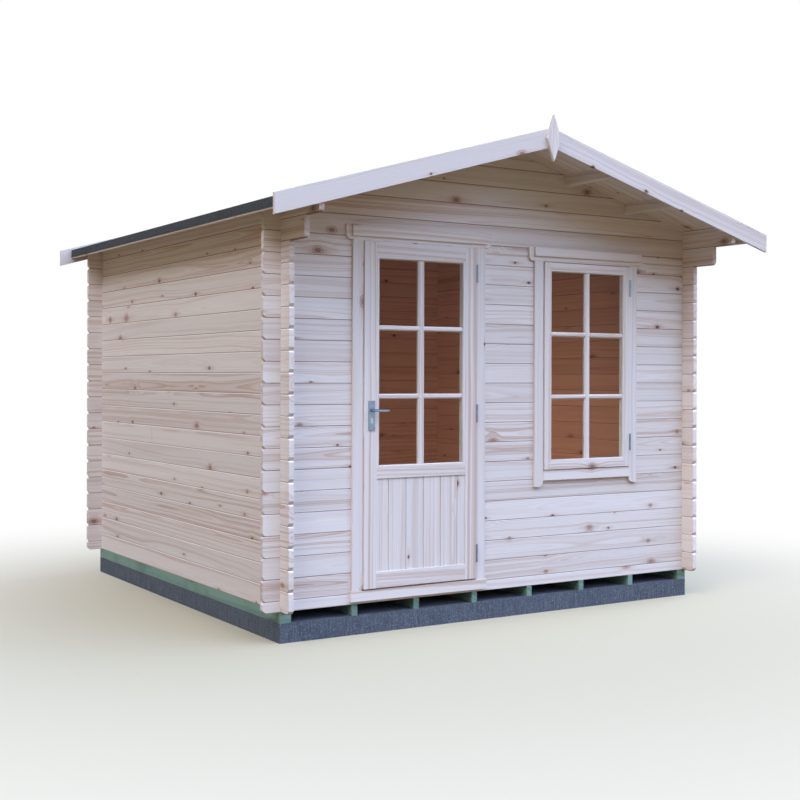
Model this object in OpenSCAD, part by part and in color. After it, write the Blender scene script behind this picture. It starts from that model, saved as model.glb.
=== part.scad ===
// Log cabin with interlocked corners, a glazed door and a tall window,
// standing on timber bearers and a concrete base.
// Millimetres, +Z up, origin at the centre of the base underside, front to -Y.

/* [Base] */
// Height of the concrete base
base_h = 100; // [60:5:200]
// Height of the bearers
bearer_h = 60; // [40:1:80]
// Width of the two edge bearers
edge_bearer_w = 64; // [45:1:80]
// Width of the bearers between them
bearer_w = 35; // [25:1:60]
// Number of bearers between the edge ones
inner_bearers = 6; // [3:1:6]
// Distance between the middles of those bearers
bearer_pitch = 383; // [340:1:400]
// How far those bearers stand left of the middle
bearer_shift = 8; // [0:1:20]
// Thickness of the floor
floor_t = 18; // [12:1:28]

/* [Walls] */
// Width over the outer faces of the side walls
wall_w = 2800; // [2760:10:3000]
// Depth over the outer faces of the front and back walls
wall_d = 2770; // [2500:10:3200]
// Thickness of a log
log_t = 28; // [24:1:34]
// Height of one log course
log_h = 110; // [110:1:114]
// Length of a log end past the crossing wall
log_end = 97; // [70:1:120]
// Number of courses in a side wall
side_courses = 19; // [19:1:20]
// Bevel along the visible edges of a log
log_bevel = 2.5; // [1:0.5:4]
// Width of the tongue on top of a log
tongue_w = 10; // [6:1:14]
// Height of the tongue
tongue_h = 8; // [4:1:10]
// Play between interlocked logs
log_play = 0.5; // [0.2:0.1:1]
// Reach of the bracket logs past the front wall
bracket_reach = 256; // [180:1:320]

/* [Roof] */
// Pitch of the roof in degrees
pitch = 16; // [12:1:18]
// Thickness of the roof boarding
roof_t = 18; // [14:1:24]
// Thickness of the roofing felt
felt_t = 2.5; // [1.5:0.5:4]
// Reach of the roof past the front wall, to the back of the bargeboards
front_reach = 409; // [340:1:480]
// Reach of the roof past the back wall, to the front of the rear bargeboards
back_reach = 115; // [110:1:300]
// Reach of the felted eaves past the side walls
eave_reach = 172; // [140:1:220]
// Width of a purlin
purlin_w = 50; // [36:1:60]
// Height of a purlin at its middle
purlin_h = 53; // [44:1:60]
// Distance between purlins
purlin_pitch = 460; // [420:1:480]
// Thickness of the bargeboards and the finial
barge_t = 18; // [14:1:22]
// Reach of the bargeboards past the side walls
barge_reach = 247; // [220:1:280]
// Depth of a bargeboard below the roof boarding
barge_below = 68; // [50:1:80]
// Height of a bargeboard above the underside of the boarding
barge_above = 36; // [30:1:50]
// Thickness of the eaves boards
eaves_t = 18; // [12:1:22]
// Depth of an eaves board below the boarding
eaves_below = 41; // [30:1:50]
// Wood left bare below the felt at the eaves
eaves_bare = 6.5; // [3:0.5:12]
// Width of the finial
finial_w = 94; // [70:1:120]
// Height of the finial
finial_h = 251; // [200:1:280]

/* [Door] */
// Middle of the door from the left wall
door_x = 835; // [825:1:845]
// Width of the door leaf
leaf_w = 716; // [700:1:730]
// Height of the door leaf
leaf_h = 1825; // [1780:1:1830]
// Thickness of the leaf and the sash
leaf_t = 40; // [36:1:44]
// How far the leaf and the sash stand before the wall
leaf_proud = 26; // [22:1:30]
// Gap around the leaf
leaf_gap = 6; // [5:0.5:8]
// Width of the leaf's stiles
stile_w = 74; // [68:1:90]
// Height of the leaf's top rail
top_rail_h = 72; // [60:1:90]
// Height of the middle rail
mid_rail_h = 52; // [44:1:70]
// Height of the bottom rail
low_rail_h = 85; // [75:1:110]
// Height of the lower panel between the rails
panel_h = 491; // [440:1:520]
// Height of the lever above the bottom of the leaf
lever_z = 936; // [880:1:980]
// How far the door is drawn open
door_angle = 0; // [0:5:165]
// How far the lever is drawn down
lever_angle = 0; // [0:5:40]

/* [Window] */
// Middle of the window from the left wall
window_x = 1994; // [1980:1:2005]
// Width of the sash
sash_w = 644; // [620:1:650]
// Height of the sash
sash_h = 1191; // [1150:1:1200]
// Width of the sash's stiles and top rail
sash_bar_w = 34; // [28:1:42]
// Height of the sash's bottom rail
sash_low_h = 38; // [32:1:46]

/* [Frames and trim] */
// Width of the frame posts
post_w = 40; // [34:1:46]
// Depth of the frames through the wall
frame_d = 62; // [50:1:80]
// Width of the trim boards beside the door
door_trim_w = 60; // [50:1:66]
// Width of the trim boards beside the window
window_trim_w = 61; // [52:1:66]
// Thickness of the trim boards
trim_t = 16; // [12:1:20]
// Height of the head boards
head_h = 78; // [70:1:90]
// Reach of a head board past the side trims
head_reach = 40; // [30:1:46]
// Radius of the rounded corners of the head boards and the window trims
trim_round = 30; // [20:1:38]
// Thickness of the drip boards over the head boards
drip_t = 14; // [10:1:18]
// Thickness of the glass
glass_t = 4; // [3:1:8]

/* [Hidden] */
$fn = 48;

pale_wood = [0.90, 0.84, 0.77];
green_wood = [0.50, 0.53, 0.42];
concrete_grey = [0.42, 0.45, 0.50];
felt_grey = [0.29, 0.31, 0.34];
satin_metal = [0.62, 0.65, 0.70];
glass_tint = [0.55, 0.62, 0.62, 0.45];

wall_z = base_h + bearer_h;
slope = tan(pitch);
quarter = log_h / 4;
half_log = log_h / 2;
plate_z = side_courses * log_h;
tie_course = side_courses - 1;
gable_z = half_log + tie_course * log_h;
apex_z = plate_z + (wall_w / 2 - log_t / 2) * slope;
gable_courses = floor((apex_z - gable_z) / log_h);
end_low = 17;
end_high = 9;
overhang_round = 24;
roof_rise = roof_t / cos(pitch);
felt_rise = felt_t / cos(pitch);
roof_play = 0.02;
eaves_x = felt_t - eave_reach;
boards_x = eaves_x + eaves_t;

door_z = half_log;
door_sill_t = 16;
head_z = gable_z - log_h;
leaf_left = door_x - leaf_w / 2;
leaf_right = door_x + leaf_w / 2;
leaf_z = door_z + door_sill_t + leaf_gap;
leaf_top = leaf_z + leaf_h;
leaf_front = -leaf_proud;
leaf_back = leaf_t - leaf_proud;
door_left = leaf_left - leaf_gap - post_w;
door_right = leaf_right + leaf_gap + post_w;

window_course = 6;
sash_gap = 4;
sash_left = window_x - sash_w / 2;
sash_right = window_x + sash_w / 2;
window_left = sash_left - sash_gap - post_w;
window_right = sash_right + sash_gap + post_w;
window_z = half_log + (window_course - 1) * log_h;
sash_sill_t = 50;
sash_z = window_z + sash_sill_t + sash_gap;
sash_top = sash_z + sash_h;

hinge_x = leaf_right + leaf_gap / 2;
hinge_r = 4.5;
hinge_y = leaf_front - hinge_r;
hinge_h = 100;
hinge_leaf_t = 2;
pin_r = 2.5;
pin_play = 0.1;
door_hinge_in = 140;
door_hinge_z = [leaf_z + door_hinge_in, leaf_z + leaf_h / 2, leaf_top - door_hinge_in];
window_hinge_low = 145;
window_hinge_high = 127;
window_hinge_z = [sash_z + window_hinge_low, sash_top - window_hinge_high];

lever_in = 42;
lever_x = leaf_left + lever_in;
plate_w = 37;
plate_h = 155;
plate_t = 6;
neck_r = 8;

// Height of the underside of the roof boarding at x
function roof_z(x) = plate_z + (min(x, wall_w - x) - log_t / 2) * slope;

// Places children in the walls' frame: x from the left wall, y from the front wall, z from the bearers
module placed() {
    translate([-wall_w / 2, -wall_d / 2, wall_z])
        children();
}

module mirrored_x() {
    translate([wall_w, 0, 0])
        mirror([1, 0, 0])
            children();
}

module block(low, high) {
    translate(low)
        cube(high - low);
}

// Space above the underside of the roof boarding, a hair's breadth deeper
module above_roof() {
    start = -front_reach - 1;
    end = wall_d + back_reach + 1;
    eave_z = roof_z(boards_x) - roof_play;
    translate([0, end, 0])
        rotate([90, 0, 0])
            linear_extrude(end - start)
                polygon([
                    [boards_x, eave_z], [wall_w / 2, apex_z - roof_play], [wall_w - boards_x, eave_z],
                    [wall_w - boards_x, 2 * apex_z], [boards_x, 2 * apex_z]
                ]);
}

// Section of a log: bevelled edges, a tongue on top and a groove below
module log_section(height, tongue, groove) {
    middle = log_t / 2;
    groove_w = tongue_w + 2 * log_play;
    groove_h = tongue_h + 1;
    polygon(concat(
        [[log_bevel, 0]],
        groove ? [[middle - groove_w / 2, 0], [middle - groove_w / 2, groove_h],
                  [middle + groove_w / 2, groove_h], [middle + groove_w / 2, 0]] : [],
        [[log_t - log_bevel, 0], [log_t, log_bevel], [log_t, height - log_bevel], [log_t - log_bevel, height]],
        tongue ? [[middle + tongue_w / 2, height], [middle + tongue_w / 2, height + tongue_h],
                  [middle - tongue_w / 2, height + tongue_h], [middle - tongue_w / 2, height]] : [],
        [[log_bevel, height], [0, height - log_bevel], [0, log_bevel]]
    ));
}

// Outline of one log end in elevation, from the bottom up
function log_end_points(x, out, z0, z1, free) = free
    ? [[x - out * end_low, z0], [x, z0 + end_low], [x, z1 - end_high],
       [x - out * end_high, z1], [x - out * end_high, z1 + tongue_h]]
    : [[x, z0], [x, z1 + tongue_h]];

function reversed(list) = [for (i = [len(list) - 1 : -1 : 0]) list[i]];

// Elevation of a log with its corner notches
module log_elevation(x0, x1, z0, z1, free0, free1, crossings, low_notch, high_notch) {
    difference() {
        polygon(concat(
            log_end_points(x1, 1, z0, z1, free1),
            reversed(log_end_points(x0, -1, z0, z1, free0))
        ));
        for (x = crossings) {
            if (low_notch)
                translate([x - log_play, z0 - 1])
                    square([log_t + 2 * log_play, quarter + 1]);
            if (high_notch)
                translate([x - log_play, z1 - quarter])
                    square([log_t + 2 * log_play, quarter + tongue_h + 1]);
        }
    }
}

// One log along +X, its outer face on y = 0
module log_piece(x0, x1, z0, z1, free0 = true, free1 = true, crossings = [],
                 low_notch = true, high_notch = true, tongue = true, groove = true) {
    intersection() {
        translate([x0, 0, z0])
            rotate([90, 0, 90])
                linear_extrude(x1 - x0)
                    log_section(z1 - z0, tongue, groove);
        translate([0, log_t + 1, 0])
            rotate([90, 0, 0])
                linear_extrude(log_t + 2)
                    log_elevation(x0, x1, z0, z1, free0, free1, crossings, low_notch, high_notch);
    }
}

// Turns a log that runs along +X into one that runs along +Y in the left wall
module along_side() {
    translate([log_t, 0, 0])
        rotate([0, 0, 90])
            children();
}

side_crossings = [0, wall_d - log_t];
front_crossings = [0, wall_w - log_t];

// One full course of the left wall, counted from 1
module side_log(course) {
    along_side()
        log_piece(-log_end, wall_d + log_end, (course - 1) * log_h, course * log_h,
                  crossings = side_crossings, groove = course > 1);
}

module side_logs(first) {
    for (course = [first : 2 : side_courses - 2])
        side_log(course);
}

// Rounds the lower front corner of a log end at x0
module end_round(x0, z0, radius) {
    translate([x0, log_t + 1, z0])
        rotate([90, 0, 0])
            linear_extrude(log_t + 2)
                difference() {
                    translate([-1, -1])
                        square(radius + 1);
                    translate([radius, radius])
                        circle(radius);
                }
}

// Course below the eaves, which carries the overhang
module bracket_log() {
    low = (side_courses - 2) * log_h;
    along_side()
        difference() {
            log_piece(-bracket_reach, wall_d + log_end, low, low + log_h, free0 = false,
                      crossings = side_crossings);
            end_round(-bracket_reach, low, overhang_round);
        }
}

// Top course of a side wall, bevelled to the roof
module wall_plate() {
    low = (side_courses - 1) * log_h;
    difference() {
        along_side()
            difference() {
                log_piece(-front_reach, wall_d + back_reach, low, plate_z + log_t, free0 = false, free1 = false,
                          crossings = side_crossings, high_notch = false, tongue = false);
                end_round(-front_reach, low, overhang_round);
            }
        above_roof();
    }
}

// One course of the front wall between x0 and x1, counted from 1 above the half log
module front_log(course, x0, x1, free0, free1) {
    low = half_log + (course - 1) * log_h;
    difference() {
        log_piece(x0, x1, low, low + log_h, free0, free1, crossings = front_crossings);
        block([window_left, -1, window_z], [window_right, log_t + 1, head_z]);
    }
}

// Half log that the front or back wall starts with
module half_course() {
    log_piece(-log_end, wall_w + log_end, 0, half_log, crossings = front_crossings,
              low_notch = false, groove = false);
}

function purlin_z(i) = roof_z(wall_w / 2 + i * purlin_pitch) - purlin_h;

// Slots that let the purlins through a gable
module purlin_slots() {
    for (i = [-2 : 2])
        translate([wall_w / 2 + i * purlin_pitch - purlin_w / 2 - log_play, -1, purlin_z(i)])
            cube([purlin_w + 2 * log_play, log_t + 2, log_h]);
}

// One gable course, counted from 1 above the tie course, cut to the roof
module gable_log(course) {
    low = gable_z + (course - 1) * log_h;
    last = course == gable_courses;
    high = last ? apex_z + log_t : low + log_h;
    difference() {
        log_piece(log_t + log_play, wall_w - log_t - log_play, low, high, false, false, tongue = !last);
        above_roof();
        purlin_slots();
    }
}

// Tie course, the last one whose ends pass the side walls
module tie_log() {
    log_piece(-log_end, wall_w + log_end, gable_z - log_h, gable_z, crossings = front_crossings);
}

module at_back() {
    translate([0, wall_d - log_t, 0])
        children();
}

module concrete_base() {
    color(concrete_grey)
        translate([-wall_w / 2, -wall_d / 2, 0])
            cube([wall_w, wall_d, base_h]);
}

module bearers() {
    first = (wall_w - (inner_bearers - 1) * bearer_pitch - bearer_w) / 2 - bearer_shift;
    color(green_wood)
        placed() {
            for (x = [0, wall_w - edge_bearer_w])
                block([x, 0, -bearer_h], [x + edge_bearer_w, wall_d, 0]);
            for (i = [0 : inner_bearers - 1])
                translate([first + i * bearer_pitch, 0, -bearer_h])
                    cube([bearer_w, wall_d, bearer_h]);
        }
}

module floor() {
    gap = 2;
    color(pale_wood)
        placed()
            block([log_t + gap, log_t + gap, 0], [wall_w - log_t - gap, wall_d - log_t - gap, floor_t]);
}

module left_wall_odd_logs() {
    color(pale_wood)
        placed()
            side_logs(1);
}

module left_wall_even_logs() {
    color(pale_wood)
        placed()
            side_logs(2);
}

module right_wall_odd_logs() {
    color(pale_wood)
        placed()
            mirrored_x()
                side_logs(1);
}

module right_wall_even_logs() {
    color(pale_wood)
        placed()
            mirrored_x()
                side_logs(2);
}

module bracket_logs() {
    color(pale_wood)
        placed() {
            bracket_log();
            mirrored_x()
                bracket_log();
        }
}

module wall_plates() {
    color(pale_wood)
        placed() {
            wall_plate();
            mirrored_x()
                wall_plate();
        }
}

module back_wall_odd_logs() {
    color(pale_wood)
        placed()
            at_back() {
                for (course = [1 : 2 : tie_course - 1])
                    back_log(course);
                for (course = [1 : 2 : gable_courses])
                    gable_log(course);
            }
}

module back_wall_even_logs() {
    color(pale_wood)
        placed()
            at_back() {
                half_course();
                for (course = [2 : 2 : tie_course - 1])
                    back_log(course);
                tie_log();
                for (course = [2 : 2 : gable_courses])
                    gable_log(course);
            }
}

// One full course of the back wall
module back_log(course) {
    low = half_log + (course - 1) * log_h;
    log_piece(-log_end, wall_w + log_end, low, low + log_h, crossings = front_crossings);
}

module front_sill_log() {
    color(pale_wood)
        placed()
            difference() {
                half_course();
                block([door_left, -1, door_z], [door_right, log_t + 1, head_z]);
            }
}

// Courses left of the door
module front_left_logs(first) {
    for (course = [first : 2 : tie_course - 1])
        front_log(course, -log_end, door_left, true, false);
}

// Courses right of the door: whole below the window, split beside it
module front_right_logs(first) {
    for (course = [first : 2 : tie_course - 1])
        if (course < window_course) {
            front_log(course, door_right, wall_w + log_end, false, true);
        } else {
            front_log(course, door_right, window_left, false, false);
            front_log(course, window_right, wall_w + log_end, false, true);
        }
}

module front_left_odd_logs() {
    color(pale_wood)
        placed()
            front_left_logs(1);
}

module front_left_even_logs() {
    color(pale_wood)
        placed()
            front_left_logs(2);
}

module front_right_odd_logs() {
    color(pale_wood)
        placed()
            front_right_logs(1);
}

module front_right_even_logs() {
    color(pale_wood)
        placed()
            front_right_logs(2);
}

module front_gable_odd_logs() {
    color(pale_wood)
        placed()
            for (course = [1 : 2 : gable_courses])
                gable_log(course);
}

module front_gable_even_logs() {
    color(pale_wood)
        placed() {
            tie_log();
            for (course = [2 : 2 : gable_courses])
                gable_log(course);
        }
}

module purlins() {
    color(pale_wood)
        placed()
            difference() {
                for (i = [-2 : 2])
                    translate([wall_w / 2 + i * purlin_pitch - purlin_w / 2, -front_reach, purlin_z(i)])
                        cube([purlin_w, front_reach + wall_d + back_reach, 2 * purlin_h]);
                above_roof();
            }
}

// Extrudes a section in x and z along the length of the roof
module along_roof(start = -front_reach, end = wall_d + back_reach) {
    translate([0, end, 0])
        rotate([90, 0, 0])
            linear_extrude(end - start)
                children();
}

module roof_boards() {
    along_roof()
        polygon([
            [boards_x, roof_z(boards_x)], [wall_w / 2, apex_z],
            [wall_w / 2, apex_z + roof_rise], [boards_x, roof_z(boards_x) + roof_rise]
        ]);
}

// Felt over the boarding, turned down over the eaves board
module felt() {
    outer = roof_z(-eave_reach) + roof_rise;
    lip = roof_z(boards_x) - eaves_below + eaves_bare;
    along_roof()
        polygon([
            [wall_w / 2, apex_z + roof_rise], [wall_w / 2, apex_z + roof_rise + felt_rise],
            [-eave_reach, outer + felt_rise], [-eave_reach, lip],
            [eaves_x, lip], [eaves_x, roof_z(eaves_x) + roof_rise]
        ]);
}

module eaves_board() {
    low = roof_z(boards_x) - eaves_below;
    along_roof()
        polygon([
            [eaves_x, low], [boards_x, low],
            [boards_x, roof_z(boards_x) + roof_rise], [eaves_x, roof_z(eaves_x) + roof_rise]
        ]);
}

module left_roof_boards() {
    color(pale_wood)
        placed()
            roof_boards();
}

module right_roof_boards() {
    color(pale_wood)
        placed()
            mirrored_x()
                roof_boards();
}

module left_felt() {
    color(felt_grey)
        placed()
            felt();
}

module right_felt() {
    color(felt_grey)
        placed()
            mirrored_x()
                felt();
}

module eaves_boards() {
    color(pale_wood)
        placed() {
            eaves_board();
            mirrored_x()
                eaves_board();
        }
}

// Front and rear bargeboard of one slope, plumb-cut at the ridge and the eaves
module bargeboard_pair() {
    for (back = [-front_reach, wall_d + back_reach + barge_t])
        along_roof(back - barge_t, back)
            polygon([
                [-barge_reach, roof_z(-barge_reach) - barge_below], [wall_w / 2, apex_z - barge_below],
                [wall_w / 2, apex_z + barge_above], [-barge_reach, roof_z(-barge_reach) + barge_above]
            ]);
}

module left_bargeboards() {
    color(pale_wood)
        placed()
            bargeboard_pair();
}

module right_bargeboards() {
    color(pale_wood)
        placed()
            mirrored_x()
                bargeboard_pair();
}

// Kite-shaped board over the front joint of the bargeboards
module finial() {
    rise = 104;
    waist_drop = 24;
    top = apex_z + rise;
    middle = apex_z - waist_drop;
    color(pale_wood)
        placed()
            along_roof(-front_reach - 2 * barge_t, -front_reach - barge_t)
                polygon([
                    [wall_w / 2, top - finial_h], [wall_w / 2 + finial_w / 2, middle],
                    [wall_w / 2, top], [wall_w / 2 - finial_w / 2, middle]
                ]);
}

// Pair of frame posts between x0 and x1
module post_pair(x0, x1, z0, z1) {
    block([x0, 0, z0], [x0 + post_w, frame_d, z1]);
    block([x1 - post_w, 0, z0], [x1, frame_d, z1]);
}

// Stop strips round an opening, behind a leaf whose back is at y
module stop_strips(x0, x1, z0, z1, y, sill) {
    stop_w = 20;
    stop_d = 20;
    for (x = [x0, x1 - stop_w])
        block([x, y, z0], [x + stop_w, y + stop_d, z1]);
    block([x0 + stop_w + 1, y, z1 - stop_w], [x1 - stop_w - 1, y + stop_d, z1]);
    if (sill)
        block([x0 + stop_w + 1, y, z0], [x1 - stop_w - 1, y + stop_d, z0 + stop_w]);
}

module door_posts() {
    color(pale_wood)
        placed()
            post_pair(door_left, door_right, door_z, head_z);
}

module door_frame_ends() {
    color(pale_wood)
        placed() {
            block([door_left + post_w, 0, door_z], [door_right - post_w, frame_d, leaf_z - leaf_gap]);
            block([door_left + post_w, 0, leaf_top + leaf_gap], [door_right - post_w, frame_d, head_z]);
        }
}

module door_stops() {
    color(pale_wood)
        placed()
            stop_strips(door_left + post_w, door_right - post_w, leaf_z - leaf_gap, leaf_top + leaf_gap,
                        leaf_back + leaf_gap, false);
}

door_trim_x = [leaf_left - leaf_gap - door_trim_w, leaf_right + leaf_gap];
window_trim_x = [sash_left - sash_gap - window_trim_w, sash_right + sash_gap];
door_trim_end = door_trim_x[1] + door_trim_w;
window_trim_end = window_trim_x[1] + window_trim_w;
door_head_z = leaf_top + leaf_gap;
window_head_z = sash_top + sash_gap;
threshold_z = 14;
threshold_drop = 2;
threshold_top = leaf_z - leaf_gap - threshold_drop;
sill_proud = 4;

module door_trims() {
    color(pale_wood)
        placed()
            for (x = door_trim_x)
                block([x, -trim_t, threshold_top], [x + door_trim_w, 0, door_head_z]);
}

module door_threshold() {
    reach = 9;
    color(pale_wood)
        placed()
            block([door_trim_x[0] - reach, -trim_t - sill_proud, threshold_z],
                  [door_trim_end + reach, 0, threshold_top]);
}

// Board from x0 to x1 with rounded lower corners, its back on the wall
module rounded_board(x0, x1, z0, z1, radius) {
    translate([0, 0, z0])
        rotate([90, 0, 0])
            linear_extrude(trim_t) {
                for (x = [x0 + radius, x1 - radius])
                    translate([x, radius])
                        circle(radius);
                translate([x0 + radius, 0])
                    square([x1 - x0 - 2 * radius, radius + 1]);
                translate([x0, radius])
                    square([x1 - x0, z1 - z0 - radius]);
            }
}

module head_boards() {
    color(pale_wood)
        placed() {
            rounded_board(door_trim_x[0] - head_reach, door_trim_end + head_reach,
                          door_head_z, door_head_z + head_h, trim_round);
            rounded_board(window_trim_x[0] - head_reach, window_trim_end + head_reach,
                          window_head_z, window_head_z + head_h, trim_round);
        }
}

// Board over a head board that throws the rain clear, its lower front edge bevelled
module drip_board(x0, x1, z0, z1) {
    bevel = 3;
    translate([x0, -trim_t, 0])
        rotate([90, 0, 90])
            linear_extrude(x1 - x0)
                polygon([
                    [0, z0], [bevel - drip_t, z0], [-drip_t, z0 + bevel], [-drip_t, z1 - bevel],
                    [bevel - drip_t, z1], [0, z1]
                ]);
}

module drip_boards() {
    reach = 7;
    door_up = 17;
    window_up = 27;
    color(pale_wood)
        placed() {
            drip_board(door_trim_x[0] - reach, door_trim_end + reach,
                       door_head_z + door_up, door_head_z + head_h);
            drip_board(window_trim_x[0] - reach, window_trim_end + reach,
                       window_head_z + window_up, window_head_z + head_h);
        }
}

module window_posts() {
    color(pale_wood)
        placed()
            post_pair(window_left, window_right, window_z, head_z);
}

module window_frame_ends() {
    color(pale_wood)
        placed() {
            block([window_left + post_w, 0, window_z], [window_right - post_w, frame_d, sash_z - sash_gap]);
            block([window_left + post_w, 0, sash_top + sash_gap], [window_right - post_w, frame_d, head_z]);
        }
}

module window_stops() {
    color(pale_wood)
        placed()
            stop_strips(window_left + post_w, window_right - post_w, sash_z - sash_gap, sash_top + sash_gap,
                        leaf_back, true);
}

sill_h = 58;
sill_top = sash_z - sash_gap;

// Side trims of the window, rounded on the inside of their feet
module window_trims() {
    foot_drop = 94;
    foot = sill_top - foot_drop;
    color(pale_wood)
        placed()
            for (side = [0, 1])
                translate([window_trim_x[side] + side * window_trim_w, 0, 0])
                    mirror([side, 0, 0])
                        rotate([90, 0, 0])
                            linear_extrude(trim_t) {
                                translate([0, foot + trim_round])
                                    square([window_trim_w, window_head_z - foot - trim_round]);
                                translate([0, foot])
                                    square([window_trim_w - trim_round, trim_round + 1]);
                                translate([window_trim_w - trim_round, foot + trim_round])
                                    circle(trim_round);
                            }
}

module window_sill() {
    color(pale_wood)
        placed()
            block([window_trim_x[0] + window_trim_w, -trim_t - sill_proud, sill_top - sill_h],
                  [window_trim_x[1], 0, sill_top]);
}

// Groove that holds a pane between x0, x1, z0 and z1
module pane(x0, x1, z0, z1, thickness, depth) {
    middle = leaf_front + leaf_t / 2;
    block([x0 - depth, middle - thickness / 2, z0 - depth], [x1 + depth, middle + thickness / 2, z1 + depth]);
}

sash_glass_x = [sash_left + sash_bar_w, sash_right - sash_bar_w];
sash_glass_z = [sash_z + sash_low_h, sash_top - sash_bar_w];
groove_d = 8;

module sash_pane(thickness, depth) {
    pane(sash_glass_x[0], sash_glass_x[1], sash_glass_z[0], sash_glass_z[1], thickness, depth);
}

module sash_stiles() {
    color(pale_wood)
        placed()
            difference() {
                for (x = [sash_left, sash_right - sash_bar_w])
                    block([x, leaf_front, sash_z], [x + sash_bar_w, leaf_back, sash_top]);
                sash_pane(glass_t, groove_d);
            }
}

module sash_rails() {
    color(pale_wood)
        placed()
            difference() {
                for (rail = [[sash_z, sash_glass_z[0]], [sash_glass_z[1], sash_top]])
                    block([sash_glass_x[0], leaf_front, rail[0]], [sash_glass_x[1], leaf_back, rail[1]]);
                sash_pane(glass_t, groove_d);
            }
}

module window_glass() {
    color(glass_tint)
        placed()
            sash_pane(glass_t, groove_d);
}

// Plain hinge of the sash, in the gap beside it
module window_hinges() {
    inset = 4;
    color(satin_metal)
        placed()
            for (z = window_hinge_z)
                translate([sash_right, 0, z - hinge_h / 2]) {
                    translate([sash_gap / 2, hinge_y, 0])
                        cylinder(r = hinge_r, h = hinge_h);
                    block([0, hinge_y, 0], [sash_gap, leaf_back - inset, hinge_h]);
                }
}

glass_z0 = leaf_z + low_rail_h + panel_h + mid_rail_h;
door_glass_x = [leaf_left + stile_w, leaf_right - stile_w];
door_glass_z = [glass_z0, leaf_top - top_rail_h];
door_panel_z = [leaf_z + low_rail_h, leaf_z + low_rail_h + panel_h];
panel_t = 28;

module door_pane(thickness, depth) {
    pane(door_glass_x[0], door_glass_x[1], door_glass_z[0], door_glass_z[1], thickness, depth);
}

module panel_space() {
    pane(door_glass_x[0], door_glass_x[1], door_panel_z[0], door_panel_z[1], panel_t, groove_d);
}

// Turns children with the door about its hinges
module swung() {
    translate([hinge_x, hinge_y, 0])
        rotate([0, 0, door_angle])
            translate([-hinge_x, -hinge_y, 0])
                children();
}

module door_stiles() {
    bore_r = 13;
    color(pale_wood)
        placed()
            swung()
                difference() {
                    for (x = [leaf_left, leaf_right - stile_w])
                        block([x, leaf_front, leaf_z], [x + stile_w, leaf_back, leaf_top]);
                    door_pane(glass_t, groove_d);
                    panel_space();
                    translate([lever_x, leaf_back + 1, leaf_z + lever_z])
                        rotate([90, 0, 0])
                            cylinder(r = bore_r, h = leaf_t + 2);
                }
}

module door_rails() {
    rails = [[leaf_z, door_panel_z[0]], [door_panel_z[1], door_glass_z[0]], [door_glass_z[1], leaf_top]];
    color(pale_wood)
        placed()
            swung()
                difference() {
                    for (rail = rails)
                        block([door_glass_x[0], leaf_front, rail[0]], [door_glass_x[1], leaf_back, rail[1]]);
                    door_pane(glass_t, groove_d);
                    panel_space();
                }
}

module door_panel() {
    color(pale_wood)
        placed()
            swung()
                panel_space();
}

module door_glass() {
    color(glass_tint)
        placed()
            swung()
                door_pane(glass_t, groove_d);
}

// Lower half of each lift-off hinge, with its pin, on the frame
module door_hinge_pins() {
    lift = 1;
    pin_short = 4;
    color(satin_metal)
        placed()
            for (z = door_hinge_z)
                translate([hinge_x, 0, z]) {
                    translate([0, hinge_y, -hinge_h / 2])
                        cylinder(r = hinge_r, h = hinge_h / 2 - lift);
                    translate([0, hinge_y, -hinge_h / 2])
                        cylinder(r = pin_r, h = hinge_h - pin_short);
                    block([leaf_gap / 2 - hinge_leaf_t, hinge_y, -hinge_h / 2],
                          [leaf_gap / 2, leaf_back, -lift]);
                }
}

// Upper half of each lift-off hinge, on the leaf
module door_hinge_sockets() {
    cap_t = 2;
    color(satin_metal)
        placed()
            swung()
                for (z = door_hinge_z)
                    translate([hinge_x, 0, z])
                        difference() {
                            union() {
                                translate([0, hinge_y, 0])
                                    cylinder(r = hinge_r, h = hinge_h / 2);
                                block([-leaf_gap / 2, hinge_y, 0],
                                      [hinge_leaf_t - leaf_gap / 2, leaf_back, hinge_h / 2]);
                            }
                            translate([0, hinge_y, -1])
                                cylinder(r = pin_r + pin_play, h = hinge_h / 2 + 1 - cap_t);
                        }
}

// Keyhole outline: a round head over a narrower slot
module keyhole() {
    head_r = 5.5;
    slot_w = 8;
    slot_h = 24;
    circle(head_r);
    translate([-slot_w / 2, -slot_h])
        square([slot_w, slot_h]);
}

// Handle plates on both faces of the leaf
module door_plates() {
    below = 104;
    keyhole_drop = 44;
    color(satin_metal)
        placed()
            swung()
                for (y = [leaf_front, leaf_back + plate_t])
                    translate([lever_x, y, leaf_z + lever_z])
                        rotate([90, 0, 0])
                            linear_extrude(plate_t)
                                difference() {
                                    translate([-plate_w / 2, -below])
                                        square([plate_w, plate_h]);
                                    circle(neck_r + pin_play);
                                    translate([0, -keyhole_drop])
                                        keyhole();
                                }
}

// Outline of a lever grip, tapering from the hub to a round tip
module grip_outline(length, hub_r, tip_r) {
    circle(hub_r);
    translate([length, 0])
        circle(tip_r);
    polygon([[0, -hub_r], [length, -tip_r], [length, tip_r], [0, hub_r]]);
}

// Lever with its spindle through the leaf and a grip on each side
module door_lever() {
    reach = 46;
    grip_l = 82;
    hub_r = 10;
    tip_r = 6;
    grip_t = 12;
    out = leaf_front - plate_t - reach;
    inside = leaf_back + plate_t + reach;
    color(satin_metal)
        placed()
            swung()
                translate([lever_x, 0, leaf_z + lever_z])
                    rotate([0, lever_angle, 0]) {
                        translate([0, inside, 0])
                            rotate([90, 0, 0])
                                cylinder(r = neck_r, h = inside - out);
                        for (y = [out, inside + grip_t])
                            translate([0, y, 0])
                                rotate([90, 0, 0])
                                    linear_extrude(grip_t)
                                        grip_outline(grip_l, hub_r, tip_r);
                    }
}

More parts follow.
